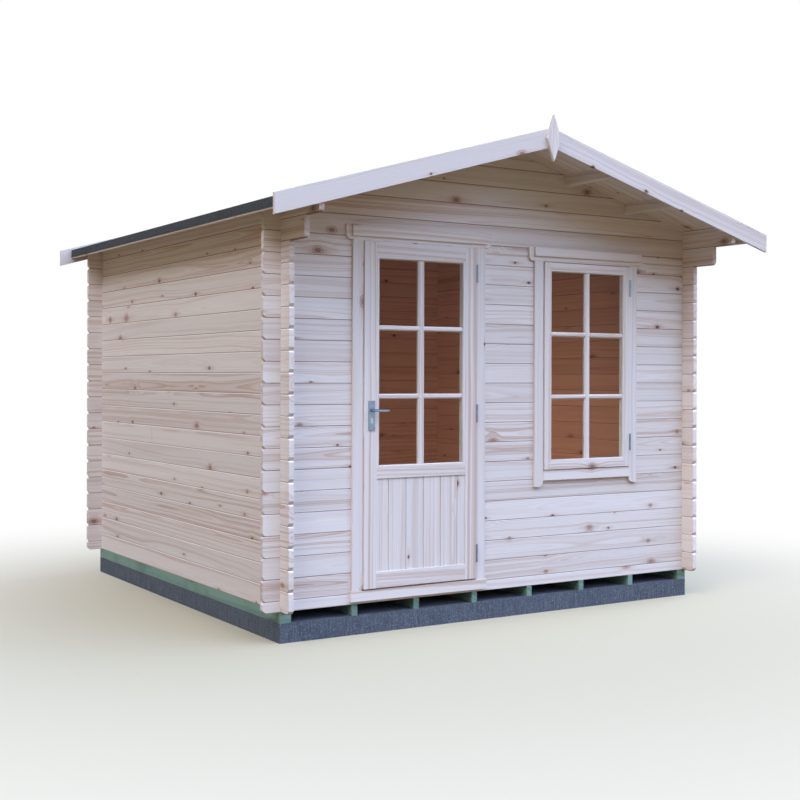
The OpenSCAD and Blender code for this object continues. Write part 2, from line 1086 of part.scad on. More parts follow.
concrete_base();
bearers();
floor();
left_wall_odd_logs();
left_wall_even_logs();
right_wall_odd_logs();
right_wall_even_logs();
bracket_logs();
wall_plates();
back_wall_odd_logs();
back_wall_even_logs();
front_sill_log();
front_left_odd_logs();
front_left_even_logs();
front_right_odd_logs();
front_right_even_logs();
front_gable_odd_logs();
front_gable_even_logs();
purlins();
left_roof_boards();
right_roof_boards();
left_felt();
right_felt();
eaves_boards();
left_bargeboards();
right_bargeboards();
finial();
door_posts();
door_frame_ends();
door_stops();
door_trims();
door_threshold();
door_hinge_pins();
window_posts();
window_frame_ends();
window_stops();
window_trims();
window_sill();
sash_stiles();
sash_rails();
window_glass();
window_hinges();
head_boards();
drip_boards();
door_stiles();
door_rails();
door_panel();
door_glass();
door_hinge_sockets();
door_plates();
door_lever();
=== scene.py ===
"""Log cabin: finishes, boards, glazing, fittings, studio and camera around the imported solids.

Every piece is in metres in the frame of the solids: +Z up, the front of the cabin towards -Y,
the origin under the middle of the base.
"""

from __future__ import annotations

import logging
import math
from dataclasses import dataclass, field
from enum import Enum
from functools import reduce
from typing import Sequence, Union

import bmesh
import bpy
from bpy.types import Material, Mesh, Node, NodeSocket, NodeTree, Object
from mathutils import Matrix, Vector

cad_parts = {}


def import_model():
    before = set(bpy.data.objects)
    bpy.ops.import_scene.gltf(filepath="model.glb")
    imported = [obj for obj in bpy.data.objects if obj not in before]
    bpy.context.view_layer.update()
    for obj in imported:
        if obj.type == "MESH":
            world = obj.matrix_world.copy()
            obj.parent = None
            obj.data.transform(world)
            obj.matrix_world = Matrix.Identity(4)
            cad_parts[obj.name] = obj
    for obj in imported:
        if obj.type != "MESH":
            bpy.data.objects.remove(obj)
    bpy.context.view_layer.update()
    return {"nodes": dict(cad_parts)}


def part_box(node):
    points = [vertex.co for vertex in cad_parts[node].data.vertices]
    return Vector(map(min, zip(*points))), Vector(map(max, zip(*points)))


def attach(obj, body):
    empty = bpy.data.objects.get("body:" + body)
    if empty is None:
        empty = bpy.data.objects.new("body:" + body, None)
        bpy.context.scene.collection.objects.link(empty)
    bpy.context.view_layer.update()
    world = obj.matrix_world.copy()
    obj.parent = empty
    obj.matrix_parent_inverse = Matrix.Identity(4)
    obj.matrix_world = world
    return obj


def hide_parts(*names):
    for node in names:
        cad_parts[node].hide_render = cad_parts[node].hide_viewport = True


LOG = logging.getLogger("log_cabin")

Point = tuple[float, float, float]
Pair = tuple[float, float]
Colour = tuple[float, float, float, float]
Value = Union[NodeSocket, float, Sequence[float]]

COURSE = 0.110
WALL_FOOT = 0.160
WALL_T = 0.028
WALL_HALF_W = 1.400
WALL_HALF_D = 1.385
PITCH = math.radians(16.0)
REBATE = 0.008
EASE = 0.0015
LEAST_LINE = 0.001


def srgb(red: int, green: int, blue: int) -> Colour:
    """Turns a display colour into the linear one that shaders take.

    Args:
        red: Red from 0 to 255.
        green: Green from 0 to 255.
        blue: Blue from 0 to 255.

    Returns:
        The linear colour with an alpha of one.
    """

    def linear(channel: int) -> float:
        """One channel in linear light."""
        share = channel / 255.0
        return share / 12.92 if share <= 0.04045 else ((share + 0.055) / 1.055) ** 2.4

    return (linear(red), linear(green), linear(blue), 1.0)


def courses(*walls: str) -> tuple[str, ...]:
    """Returns the names of the odd and the even logs of walls."""
    return tuple(f"{wall}_{course}_logs" for wall in walls for course in ("odd", "even"))


class Axis(Enum):
    """One of the three coordinates."""

    X = 0
    Y = 1
    Z = 2


class Grain(Enum):
    """Way of the fibres in a wooden piece: the axis, and the sign of the roof's rake along it."""

    ALONG_X = (Axis.X, 0.0)
    ALONG_Y = (Axis.Y, 0.0)
    ALONG_Z = (Axis.Z, 0.0)
    LEFT_RAKE = (Axis.X, 1.0)
    RIGHT_RAKE = (Axis.X, -1.0)


class Slope(Enum):
    """The two slopes of the roof."""

    LEFT = ("left", -1.0, Grain.LEFT_RAKE)
    RIGHT = ("right", 1.0, Grain.RIGHT_RAKE)

    def __init__(self, label: str, sign: float, grain: Grain) -> None:
        """Keeps the slope's name, the sign of its x and the way of fibres down it."""
        self.label = label
        self.sign = sign
        self.grain = grain


class Slot(str, Enum):
    """Material slots of the record."""

    BOARDS = "spruce_boards"
    JOINERY = "spruce_joinery"
    FELT = "roofing_felt"
    METAL = "satin_metal"


class Body(str, Enum):
    """Bodies that pieces ride on."""

    CABIN = "cabin"
    DOOR = "door"
    LEVER = "lever"


class Socket(str, Enum):
    """Kinds of socket of a node group."""

    FLOAT = "NodeSocketFloat"
    WHOLE = "NodeSocketInt"
    VECTOR = "NodeSocketVector"
    COLOUR = "NodeSocketColor"
    GEOMETRY = "NodeSocketGeometry"
    MATERIAL = "NodeSocketMaterial"


class Graph:
    """Short ways to add and join the nodes of a tree."""

    def __init__(self, tree: NodeTree) -> None:
        """Takes the tree that nodes are added to."""
        self.tree = tree

    def node(self, kind: str, **settings: object) -> Node:
        """Adds a node.

        Args:
            kind: Blender's name for the kind of node.
            **settings: Properties of the node.

        Returns:
            The new node.
        """
        made = self.tree.nodes.new(kind)
        for name, value in settings.items():
            setattr(made, name, value)
        return made

    def feed(self, socket: NodeSocket, value: Value) -> None:
        """Links a socket to another one, or sets its value.

        Args:
            socket: Input that takes the value.
            value: Another socket, or a plain value.
        """
        if isinstance(value, NodeSocket):
            self.tree.links.new(value, socket)
        else:
            socket.default_value = value

    def fill(self, node: Node, *ordered: Value, **named: Value) -> Node:
        """Links or sets the inputs of a node.

        Args:
            node: The node.
            *ordered: Sockets or values for its first inputs.
            **named: Sockets or values by the input's name, with _ for a space.

        Returns:
            The same node.
        """
        for socket, value in zip(node.inputs, ordered):
            self.feed(socket, value)
        for name, value in named.items():
            self.feed(node.inputs[name.replace("_", " ")], value)
        return node

    def math(self, operation: str, *values: Value) -> NodeSocket:
        """Adds a math node and returns its result."""
        return self.fill(self.node("ShaderNodeMath", operation=operation), *values).outputs[0]

    def total(self, *values: Value) -> NodeSocket:
        """Adds up two or more values."""
        return reduce(lambda so_far, value: self.math("ADD", so_far, value), values)

    def times(self, *values: Value) -> NodeSocket:
        """Multiplies two or more values."""
        return reduce(lambda so_far, value: self.math("MULTIPLY", so_far, value), values)

    def squares(self, *values: Value) -> NodeSocket:
        """Adds up the squares of two or more values."""
        return self.total(*(self.times(value, value) for value in values))

    def parts(self, vector: NodeSocket) -> list[NodeSocket]:
        """Splits a vector into its three numbers."""
        return list(self.fill(self.node("ShaderNodeSeparateXYZ"), vector).outputs)

    def channels(self, colour: NodeSocket) -> list[NodeSocket]:
        """Splits a colour into its three numbers."""
        return list(self.fill(self.node("ShaderNodeSeparateColor"), colour).outputs)

    def vector(self, x: Value, y: Value, z: Value) -> NodeSocket:
        """Joins three numbers into a vector."""
        return self.fill(self.node("ShaderNodeCombineXYZ"), x, y, z).outputs[0]

    def noise(self, vector: Value, scale: Value = 1.0, detail: float = 2.0,
              rough: float = 0.5) -> NodeSocket:
        """Adds smooth noise and returns its value, near 0.5 on average."""
        made = self.node("ShaderNodeTexNoise", noise_dimensions="3D")
        return self.fill(made, Vector=vector, Scale=scale, Detail=detail, Roughness=rough).outputs["Fac"]

    def stretched(self, *places: tuple[Value, float], detail: float = 2.0,
                  rough: float = 0.5) -> NodeSocket:
        """Adds noise at two or three numbers, each with a scale of its own."""
        scaled = [self.times(value, scale) for value, scale in places]
        return self.noise(self.vector(*(scaled + [0.0])[:3]), detail=detail, rough=rough)

    def chance(self, value: Value) -> list[NodeSocket]:
        """Returns three random numbers that depend on one value alone."""
        made = self.fill(self.node("ShaderNodeTexWhiteNoise", noise_dimensions="1D"), W=value)
        return self.channels(made.outputs["Color"])

    def smooth(self, value: Value, start: float, end: float) -> NodeSocket:
        """Goes smoothly from 0 at start to 1 at end."""
        made = self.node("ShaderNodeMapRange", interpolation_type="SMOOTHSTEP")
        limits = (start, end, 0.0, 1.0) if start < end else (end, start, 1.0, 0.0)
        return self.fill(made, value, *limits).outputs[0]

    def between(self, value: Value, low: float, high: float) -> NodeSocket:
        """Spreads a value from 0 to 1 over the range from low to high."""
        return self.math("MULTIPLY_ADD", value, high - low, low)

    def mix(self, share: Value, under: Value, over: Value, blend: str = "MIX") -> NodeSocket:
        """Lays one colour over another.

        Args:
            share: How much of the upper colour shows.
            under: Lower colour.
            over: Upper colour.
            blend: How the upper colour is laid on.

        Returns:
            The mixed colour.
        """
        made = self.node("ShaderNodeMix", data_type="RGBA", blend_type=blend)
        for place, value in ((0, share), (6, under), (7, over)):
            self.feed(made.inputs[place], value)
        return made.outputs[2]

    def group(self, tree: NodeTree, **values: Value) -> Node:
        """Places a node group and fills its inputs by name."""
        return self.fill(self.node("ShaderNodeGroup", node_tree=tree), **values)

    def cover(self, output: str, share: Value, under: Node, over: Node) -> None:
        """Shows a share of one shader over another.

        Args:
            output: Name of the tree's output node.
            share: How much of the upper shader shows.
            under: Lower shader.
            over: Upper shader.
        """
        both = self.fill(self.node("ShaderNodeMixShader"), share, under.outputs[0], over.outputs[0])
        self.fill(self.tree.nodes[output], Surface=both.outputs[0])


class Surface(Graph):
    """A material under construction, with its Principled shader and its Object coordinates."""

    def __init__(self, name: str) -> None:
        """Starts a material.

        Args:
            name: Name of the material.
        """
        self.material = bpy.data.materials.new(name)
        self.material.use_nodes = True
        super().__init__(self.material.node_tree)
        self.shader = self.tree.nodes["Principled BSDF"]
        self.place = self.node("ShaderNodeTexCoord").outputs["Object"]

    def bump(self, height: Value, depth: float, strength: float) -> None:
        """Gives the shader fine relief.

        Args:
            height: Relief from 0 to 1.
            depth: Height of the relief in metres.
            strength: How strongly it shows.
        """
        made = self.fill(self.node("ShaderNodeBump"), Strength=strength, Distance=depth, Height=height)
        self.fill(self.shader, Normal=made.outputs["Normal"])


def new_group(name: str, inputs: dict[str, Socket], outputs: dict[str, Socket],
              kind: str = "ShaderNodeTree") -> tuple[Graph, dict[str, NodeSocket], Node]:
    """Starts a node group with named sockets.

    Args:
        name: Name of the group.
        inputs: Kind of socket by the input's name.
        outputs: Kind of socket by the output's name.
        kind: Kind of tree.

    Returns:
        The graph to add nodes to, the inputs by name and the output node.
    """
    tree = bpy.data.node_groups.new(name, kind)
    for way, sockets in (("INPUT", inputs), ("OUTPUT", outputs)):
        for label, socket in sockets.items():
            tree.interface.new_socket(label, in_out=way, socket_type=socket.value)
    graph = Graph(tree)
    entry = graph.node("NodeGroupInput")
    exit_node = graph.node("NodeGroupOutput")
    return graph, {label: entry.outputs[label] for label in inputs}, exit_node


@dataclass(frozen=True)
class KnotMasks:
    """Where the knots of a board show, and how far they push its rings aside."""

    core: NodeSocket
    edge: NodeSocket
    whorl: NodeSocket
    flame: NodeSocket
    large: NodeSocket
    dead: NodeSocket
    push: NodeSocket


@dataclass
class Effects:
    """Shader groups that several finishes share, each built once."""

    ring: float = 0.0062
    ripple: float = 0.010
    pith_across: Pair = (-0.085, 0.085)
    pith_depth: Pair = (0.006, 0.060)
    knots_per_metre: float = 2.7
    knot_scatter: float = 0.85
    knot_size: Pair = (0.0048, 0.0133)
    dead_from: float = 0.45
    whorl: float = 0.0125
    room_slack: float = 0.002
    figure: NodeTree = field(init=False)
    joint_line: NodeTree = field(init=False)
    room_side: NodeTree = field(init=False)
    grit: NodeTree = field(init=False)

    def __post_init__(self) -> None:
        """Builds the groups."""
        self.figure = self._figure()
        self.joint_line = self._joint_line()
        self.room_side = self._room_shade()
        self.grit = self._grit()

    def _figure(self) -> NodeTree:
        """Growth rings, streaks, fibres and knots of sawn spruce.

        Returns:
            A group whose Vector runs along the fibres in x, across the face in y and inwards in z.
        """
        g, at, out = new_group(
            "spruce_figure",
            {"Vector": Socket.VECTOR, **dict.fromkeys(("Board", "Knottiness", "Swirl"), Socket.FLOAT),
             **dict.fromkeys(("Pale", "Streak", "Late wood", "Knot", "Knot edge"), Socket.COLOUR)},
            {"Color": Socket.COLOUR, "Height": Socket.FLOAT, "Roughness": Socket.FLOAT})
        along, across, inward = g.parts(at["Vector"])
        board = at["Board"]
        first, second, third = g.chance(board)
        fourth, fifth, sixth = g.chance(g.math("ADD", board, 0.37))
        run = g.math("MULTIPLY_ADD", first, 37.0, along)
        knots = self._knots(g, (run, across, board), at["Knottiness"])

        wander = g.stretched((run, 0.6), (board, 3.7), rough=0.4)
        wander = g.times(g.math("SUBTRACT", wander, 0.5), at["Swirl"])
        ripple = g.stretched((run, 2.2), (across, 7.0), (inward, 7.0))
        ripple = g.times(g.math("SUBTRACT", ripple, 0.5), self.ripple)
        side = g.total(across, g.between(second, *self.pith_across), wander)
        depth = g.total(inward, g.between(fourth, *self.pith_depth), g.times(wander, 0.9))
        radius = g.total(g.math("SQRT", g.squares(side, depth)), ripple, knots.push)

        spread = g.math("MULTIPLY_ADD", board, 11.0, g.times(radius, 62.0))
        streak = g.smooth(g.noise(g.vector(spread, g.times(run, 0.25), 0.0)), 0.45, 0.66)
        turn = g.math("FRACT", g.times(radius, 1.0 / self.ring))
        late = g.times(g.smooth(turn, 0.30, 0.88), g.smooth(turn, 1.0, 0.90))
        fibre = g.stretched((run, 9.0), (across, 520.0), (inward, 520.0))
        patch = g.stretched((run, 0.9), (across, 12.0), (board, 5.3))
        strength = g.between(fifth, 0.40, 1.15)

        colour = g.mix(g.times(streak, strength, 0.74), at["Pale"], at["Streak"])
        colour = g.mix(g.times(g.smooth(patch, 0.5, 0.8), 0.35), colour, at["Streak"])
        colour = g.mix(g.times(late, strength, g.between(streak, 0.18, 0.58)), colour, at["Late wood"])
        tone = g.times(g.between(fibre, 0.93, 1.06), g.between(third, 0.93, 1.03))
        grey = g.fill(g.node("ShaderNodeCombineColor"), tone, tone, tone)
        colour = g.mix(1.0, colour, grey.outputs[0], "MULTIPLY")
        colour = g.mix(g.times(knots.flame, g.between(sixth, 0.25, 0.7)), colour, at["Late wood"])
        colour = g.mix(g.times(knots.whorl, 0.5), colour, at["Knot edge"])
        colour = g.mix(g.times(knots.edge, 0.55), colour, at["Knot edge"])
        shade = g.times(knots.core, g.between(knots.dead, 0.30, 0.92), g.between(knots.large, 1.0, 0.5))
        colour = g.mix(shade, colour, at["Knot"])

        height = g.total(g.times(late, -0.35), g.times(fibre, 0.5), g.times(knots.core, -0.5))
        rough = g.total(g.between(fibre, 0.58, 0.74), g.times(knots.core, -0.12))
        g.fill(out, Color=colour, Height=height, Roughness=rough)
        return g.tree

    def _knots(self, g: Graph, place: tuple[NodeSocket, ...], knottiness: NodeSocket) -> KnotMasks:
        """Scatters knots over a board, the largest with rings round a paler core.

        Args:
            g: Graph of the figure.
            place: Place along the board and across it, and the board's number.
            knottiness: Share of the places that hold a knot.

        Returns:
            The masks of the knots.
        """
        run, across, board = place
        row = g.math("MULTIPLY_ADD", board, 3.0, g.math("MULTIPLY_ADD", across, 1.0 / COURSE, 0.5))
        spot = g.vector(g.times(run, self.knots_per_metre), row, 0.0)
        cells = g.node("ShaderNodeTexVoronoi", voronoi_dimensions="2D")
        g.fill(cells, Vector=spot, Scale=1.0, Randomness=self.knot_scatter)
        offset = g.node("ShaderNodeVectorMath", operation="SUBTRACT")
        g.fill(offset, spot, cells.outputs["Position"])
        off_u, off_v, _ = g.parts(offset.outputs[0])
        off_u = g.times(off_u, 1.0 / self.knots_per_metre)
        off_v = g.times(off_v, COURSE)
        bulk, rarity, age = g.channels(cells.outputs["Color"])
        size = g.between(g.math("POWER", bulk, 2.0), *self.knot_size)
        present = g.math("LESS_THAN", rarity, knottiness)
        large = g.times(g.smooth(bulk, 0.74, 0.80), present)
        wobble = g.between(g.stretched((run, 90.0), (across, 90.0)), 0.75, 1.25)
        near = g.math("SQRT", g.total(g.times(off_u, off_u, 0.45), g.times(off_v, off_v)))
        reach = g.times(g.math("DIVIDE", near, size), wobble)
        bend = g.math("EXPONENT", g.times(reach, reach, -0.07))
        turn = g.math("FRACT", g.times(near, wobble, 1.0 / self.whorl))
        rings = g.times(g.smooth(turn, 0.25, 0.80), g.smooth(turn, 1.0, 0.88))
        flame_u = g.math("DIVIDE", off_u, g.times(size, 8.0))
        flame_v = g.math("DIVIDE", off_v, g.times(size, 1.5))
        flame = g.math("EXPONENT", g.times(g.squares(flame_u, flame_v), -1.0))
        return KnotMasks(
            core=g.times(g.smooth(reach, 1.15, 0.65), present),
            edge=g.times(g.smooth(reach, 2.3, 0.9), present),
            whorl=g.times(rings, g.smooth(reach, 3.3, 1.7), large),
            flame=g.times(flame, present),
            large=large,
            dead=g.math("GREATER_THAN", age, self.dead_from),
            push=g.times(bend, size, 1.6, present))

    @staticmethod
    def _joint_line() -> NodeTree:
        """Number of the board in a row, the place across it, a dark line along one edge and a painted
        highlight along the other.

        Returns:
            A group that turns a place across the boards into Board, Across, the dark Line along the first
            edge and a painted highlight along the other, where a log's upper edge would catch the light.
        """
        g, at, out = new_group("joint_line", dict.fromkeys(("Place", "Pitch", "Width"), Socket.FLOAT),
                               dict.fromkeys(("Board", "Across", "Line", "Lip"), Socket.FLOAT))
        count = g.math("DIVIDE", at["Place"], at["Pitch"])
        board = g.math("FLOOR", count)
        inside = g.math("SUBTRACT", count, board)
        across = g.times(g.math("SUBTRACT", inside, 0.5), at["Pitch"])
        gap = g.math("DIVIDE", g.times(inside, at["Pitch"]), at["Width"])
        left = g.math("DIVIDE", g.times(g.math("SUBTRACT", 1.0, inside), at["Pitch"]), at["Width"])
        g.fill(out, Board=board, Across=across, Line=g.smooth(gap, 1.0, 0.45), Lip=g.smooth(left, 1.3, 0.6))
        return g.tree

    def _room_shade(self) -> NodeTree:
        """Mask of what faces the room, for the painted warm shade inside the cabin.

        Returns:
            A group that turns Object coordinates into a mask of the room.
        """
        g, at, out = new_group("room_side", {"Vector": Socket.VECTOR}, {"Mask": Socket.FLOAT})
        x, y, z = g.parts(at["Vector"])
        wide = g.math("LESS_THAN", g.math("ABSOLUTE", x), WALL_HALF_W - WALL_T + self.room_slack)
        deep = g.math("LESS_THAN", g.math("ABSOLUTE", y), WALL_HALF_D - WALL_T + self.room_slack)
        high = g.math("GREATER_THAN", z, WALL_FOOT + self.room_slack)
        g.fill(out, Mask=g.times(wide, deep, high))
        return g.tree

    @staticmethod
    def _grit() -> NodeTree:
        """Fine and coarse mottling of mineral surfaces.

        Returns:
            A group that turns a place into Fine, Coarse and Stain.
        """
        g, at, out = new_group("mineral_grit", {"Vector": Socket.VECTOR, "Grain": Socket.FLOAT},
                               dict.fromkeys(("Fine", "Coarse", "Stain"), Socket.FLOAT))
        place = at["Vector"]
        g.fill(out, Fine=g.noise(place, at["Grain"], 3.0), Coarse=g.noise(place, 22.0, 4.0, 0.6),
               Stain=g.noise(place, 2.3, 5.0, 0.62))
        return g.tree


@dataclass(frozen=True)
class BoardRow:
    """Boards of one width side by side."""

    start: float
    pitch: float
    line: float = 0.0


@dataclass(frozen=True)
class WoodTones:
    """Colours of a wood's figure, those of bare spruce unless others are given."""

    pale: Colour = srgb(238, 231, 229)
    streak: Colour = srgb(214, 192, 181)
    late: Colour = srgb(184, 147, 127)
    knot: Colour = srgb(82, 54, 48)
    knot_edge: Colour = srgb(166, 122, 104)

    def inputs(self) -> dict[str, Colour]:
        """Returns the colours by the inputs of the figure's group."""
        return {"Pale": self.pale, "Streak": self.streak, "Late_wood": self.late, "Knot": self.knot,
                "Knot_edge": self.knot_edge}


@dataclass(frozen=True)
class SpruceFinish:
    """Bare planed spruce, with its fibres in one direction."""

    grain: Grain
    across: Axis
    face: float
    middle: float = 0.0
    row: BoardRow | None = None
    butt: Pair | None = None
    seed: float = 0.0
    tones: WoodTones = WoodTones()
    knottiness: float = 0.36
    swirl: float = 0.10
    line: Colour = srgb(134, 92, 72)
    line_share: float = 0.88
    # Colour and share of the painted highlight along each log's upper edge.
    painted_highlight: Colour = srgb(252, 246, 242)
    lip: float = 0.0
    # Painted shade inside the cabin: the warm brown that faces in the room are multiplied by, and its share.
    painted_room_shade: Colour = srgb(206, 140, 96)
    room_shade_share: float = 0.88
    seam_half: float = 0.0016
    seam_share: float = 0.7
    gloss: float = 0.32
    relief: Pair = (0.0006, 0.35)

    def _oriented(self, g: Surface) -> tuple[NodeSocket, NodeSocket, NodeSocket]:
        """Splits Object coordinates by the board.

        Args:
            g: The material under construction.

        Returns:
            The places along the fibres, across the face and inwards from it.
        """
        lengthwise, rake = self.grain.value
        spots = g.parts(g.place)
        if rake:
            x, y, z = spots
            cos, sin = math.cos(PITCH), rake * math.sin(PITCH)
            spots = [g.total(g.times(x, cos), g.times(z, sin)), y,
                     g.total(g.times(x, -sin), g.times(z, cos))]
        depthwise = next(axis for axis in Axis if axis not in (lengthwise, self.across))
        inward = g.math("SUBTRACT", g.math("ABSOLUTE", spots[depthwise.value]), self.face)
        return spots[lengthwise.value], spots[self.across.value], inward

    def material(self, effects: Effects) -> Material:
        """Makes the material.

        Args:
            effects: Shared shader groups.

        Returns:
            The material.
        """
        g = Surface(f"spruce_{self.grain.name.lower()}_{self.seed:g}")
        along, across, inward = self._oriented(g)
        board: Value = self.seed
        if self.row is None:
            across = g.math("SUBTRACT", across, self.middle)
        else:
            rows = g.group(effects.joint_line, Place=g.math("SUBTRACT", across, self.row.start),
                           Pitch=self.row.pitch, Width=max(self.row.line, LEAST_LINE))
            board = g.math("ADD", rows.outputs["Board"], self.seed)
            across = rows.outputs["Across"]
        figure = g.group(effects.figure, Vector=g.vector(along, across, inward), Board=board,
                         Knottiness=self.knottiness, Swirl=self.swirl, **self.tones.inputs())
        colour = figure.outputs["Color"]
        if self.row is not None and self.row.line:
            # Painted highlight: a pale strip along each log's upper edge, where its bevel would catch the
            # light from above.
            colour = g.mix(g.times(rows.outputs["Lip"], self.lip), colour, self.painted_highlight)
            colour = g.mix(g.times(rows.outputs["Line"], self.line_share), colour, self.line)
        # Painted shade: faces inside the room are multiplied by a warm brown, standing in for the dim, warm
        # light among the inner walls.
        room = g.group(effects.room_side, Vector=g.place)
        colour = g.mix(g.times(room.outputs["Mask"], self.room_shade_share), colour, self.painted_room_shade, "MULTIPLY")
        if self.butt is not None:
            course, spot = self.butt
            here = g.math("COMPARE", board, course + self.seed, 0.1)
            seam = g.math("COMPARE", along, spot, self.seam_half)
            colour = g.mix(g.times(here, seam, self.seam_share), colour, self.line)
        g.fill(g.shader, Base_Color=colour, Roughness=figure.outputs["Roughness"],
               Specular_IOR_Level=self.gloss)
        g.bump(figure.outputs["Height"], *self.relief)
        return g.material


@dataclass(frozen=True)
class TreatedFinish:
    """Sawn timber, pressure treated to a dull green."""

    tones: WoodTones = WoodTones(srgb(136, 168, 156), srgb(99, 133, 123), srgb(74, 104, 96),
                                 srgb(44, 54, 50), srgb(70, 92, 84))
    damp: Colour = srgb(74, 94, 84)
    damp_share: float = 0.45
    bearer_pitch: float = 0.383
    knottiness: float = 0.5
    swirl: float = 0.08
    gloss: float = 0.25
    relief: Pair = (0.0012, 0.5)

    def material(self, effects: Effects) -> Material:
        """Makes the material.

        Args:
            effects: Shared shader groups.

        Returns:
            The material.
        """
        g = Surface("treated_timber")
        x, y, z = g.parts(g.place)
        rows = g.group(effects.joint_line, Place=x, Pitch=self.bearer_pitch, Width=LEAST_LINE)
        figure = g.group(effects.figure, Vector=g.vector(y, z, rows.outputs["Across"]),
                         Board=rows.outputs["Board"], Knottiness=self.knottiness, Swirl=self.swirl,
                         **self.tones.inputs())
        grit = g.group(effects.grit, Vector=g.place, Grain=90.0)
        damp = g.times(g.smooth(grit.outputs["Stain"], 0.42, 0.70), self.damp_share)
        g.fill(g.shader, Base_Color=g.mix(damp, figure.outputs["Color"], self.damp),
               Roughness=figure.outputs["Roughness"], Specular_IOR_Level=self.gloss)
        saw = g.stretched((y, 160.0), (z, 30.0), (x, 1.0))
        g.bump(g.total(figure.outputs["Height"], g.times(saw, 0.8)), *self.relief)
        return g.material


@dataclass(frozen=True)
class ConcreteFinish:
    """Dark concrete, combed upright while it was wet."""

    base: Colour = srgb(123, 132, 145)
    light: Colour = srgb(160, 168, 180)
    dark: Colour = srgb(76, 84, 97)
    comb_pitch: float = 0.0085
    comb_waver: float = 0.012
    gloss: float = 0.25
    relief: Pair = (0.0025, 0.8)

    def material(self, effects: Effects) -> Material:
        """Makes the material.

        Args:
            effects: Shared shader groups.

        Returns:
            The material.
        """
        g = Surface("combed_concrete")
        x, y, z = g.parts(g.place)
        round_the_base = g.total(x, y)
        waver = g.times(g.stretched((round_the_base, 14.0), (z, 9.0), detail=3.0), self.comb_waver)
        turns = g.times(g.total(round_the_base, waver), 2.0 * math.pi / self.comb_pitch)
        broken = g.stretched((round_the_base, 140.0), (z, 12.0), (y, 3.0), detail=3.0)
        comb = g.times(g.between(g.math("SINE", turns), 0.5, 1.0), g.smooth(broken, 0.30, 0.66))
        grit = g.group(effects.grit, Vector=g.place, Grain=150.0)
        colour = g.mix(g.times(comb, 0.75), self.dark, self.base)
        colour = g.mix(g.times(g.smooth(grit.outputs["Fine"], 0.50, 0.72), 0.6), colour, self.light)
        colour = g.mix(g.times(g.smooth(grit.outputs["Stain"], 0.46, 0.74), 0.45), colour, self.dark)
        g.fill(g.shader, Base_Color=colour, Roughness=g.between(grit.outputs["Coarse"], 0.78, 0.95),
               Specular_IOR_Level=self.gloss)
        g.bump(g.total(comb, g.times(grit.outputs["Fine"], 0.5)), *self.relief)
        return g.material


@dataclass(frozen=True)
class FeltFinish:
    """Slate-grey roofing felt with a mineral surface."""

    base: Colour = srgb(70, 74, 80)
    light: Colour = srgb(106, 110, 115)
    dark: Colour = srgb(45, 48, 53)
    flecks_per_metre: float = 520.0
    gloss: float = 0.22
    relief: Pair = (0.0012, 0.6)

    def material(self, effects: Effects) -> Material:
        """Makes the material.

        Args:
            effects: Shared shader groups.

        Returns:
            The material.
        """
        g = Surface("mineral_felt")
        grit = g.group(effects.grit, Vector=g.place, Grain=760.0)
        flecks = g.node("ShaderNodeTexVoronoi", voronoi_dimensions="3D")
        g.fill(flecks, Vector=g.place, Scale=self.flecks_per_metre)
        pale, deep, _ = g.channels(flecks.outputs["Color"])
        colour = g.mix(g.smooth(pale, 0.62, 0.95), self.base, self.light)
        colour = g.mix(g.smooth(deep, 0.66, 0.95), colour, self.dark)
        colour = g.mix(g.times(g.smooth(grit.outputs["Stain"], 0.45, 0.72), 0.35), colour, self.dark)
        g.fill(g.shader, Base_Color=colour, Roughness=g.between(grit.outputs["Coarse"], 0.80, 0.96),
               Specular_IOR_Level=self.gloss)
        g.bump(g.total(g.times(pale, 0.7), g.times(grit.outputs["Coarse"], 0.6)), *self.relief)
        return g.material


@dataclass(frozen=True)
class MetalFinish:
    """Brushed metal of the handle, lock, hinges and nails."""

    name: str
    base: Colour
    worn: Colour
    roughness: Pair
    relief: Pair = (0.0002, 0.2)

    def material(self, effects: Effects) -> Material:
        """Makes the material.

        Args:
            effects: Shared shader groups.

        Returns:
            The material.
        """
        g = Surface(self.name)
        x, y, z = g.parts(g.place)
        brushed = g.stretched((x, 260.0), (y, 260.0), (z, 1400.0), detail=3.0)
        grit = g.group(effects.grit, Vector=g.place, Grain=300.0)
        wear = g.smooth(grit.outputs["Coarse"], 0.45, 0.70)
        g.fill(g.shader, Base_Color=g.mix(wear, self.base, self.worn),
               Roughness=g.between(brushed, *self.roughness), Metallic=1.0)
        g.bump(brushed, *self.relief)
        return g.material


@dataclass(frozen=True)
class GlassFinish:
    """Clear glass that lets the light of the lamps through, with faint smears in its gloss."""

    tint: Colour = (0.93, 0.97, 0.95, 1.0)
    index: float = 1.15
    smear: float = 0.03

    def material(self, effects: Effects) -> Material:
        """Makes the material.

        Args:
            effects: Shared shader groups.

        Returns:
            The material.
        """
        g = Surface("clear_glass")
        grit = g.group(effects.grit, Vector=g.place, Grain=60.0)
        smears = g.times(g.smooth(grit.outputs["Stain"], 0.55, 0.80), self.smear)
        g.fill(g.shader, Base_Color=self.tint, Transmission_Weight=1.0, IOR=self.index, Roughness=smears)
        clear = g.fill(g.node("ShaderNodeBsdfTransparent"), Color=self.tint)
        ray = g.node("ShaderNodeLightPath")
        g.cover("Material Output", ray.outputs["Is Shadow Ray"], g.shader, clear)
        return g.material


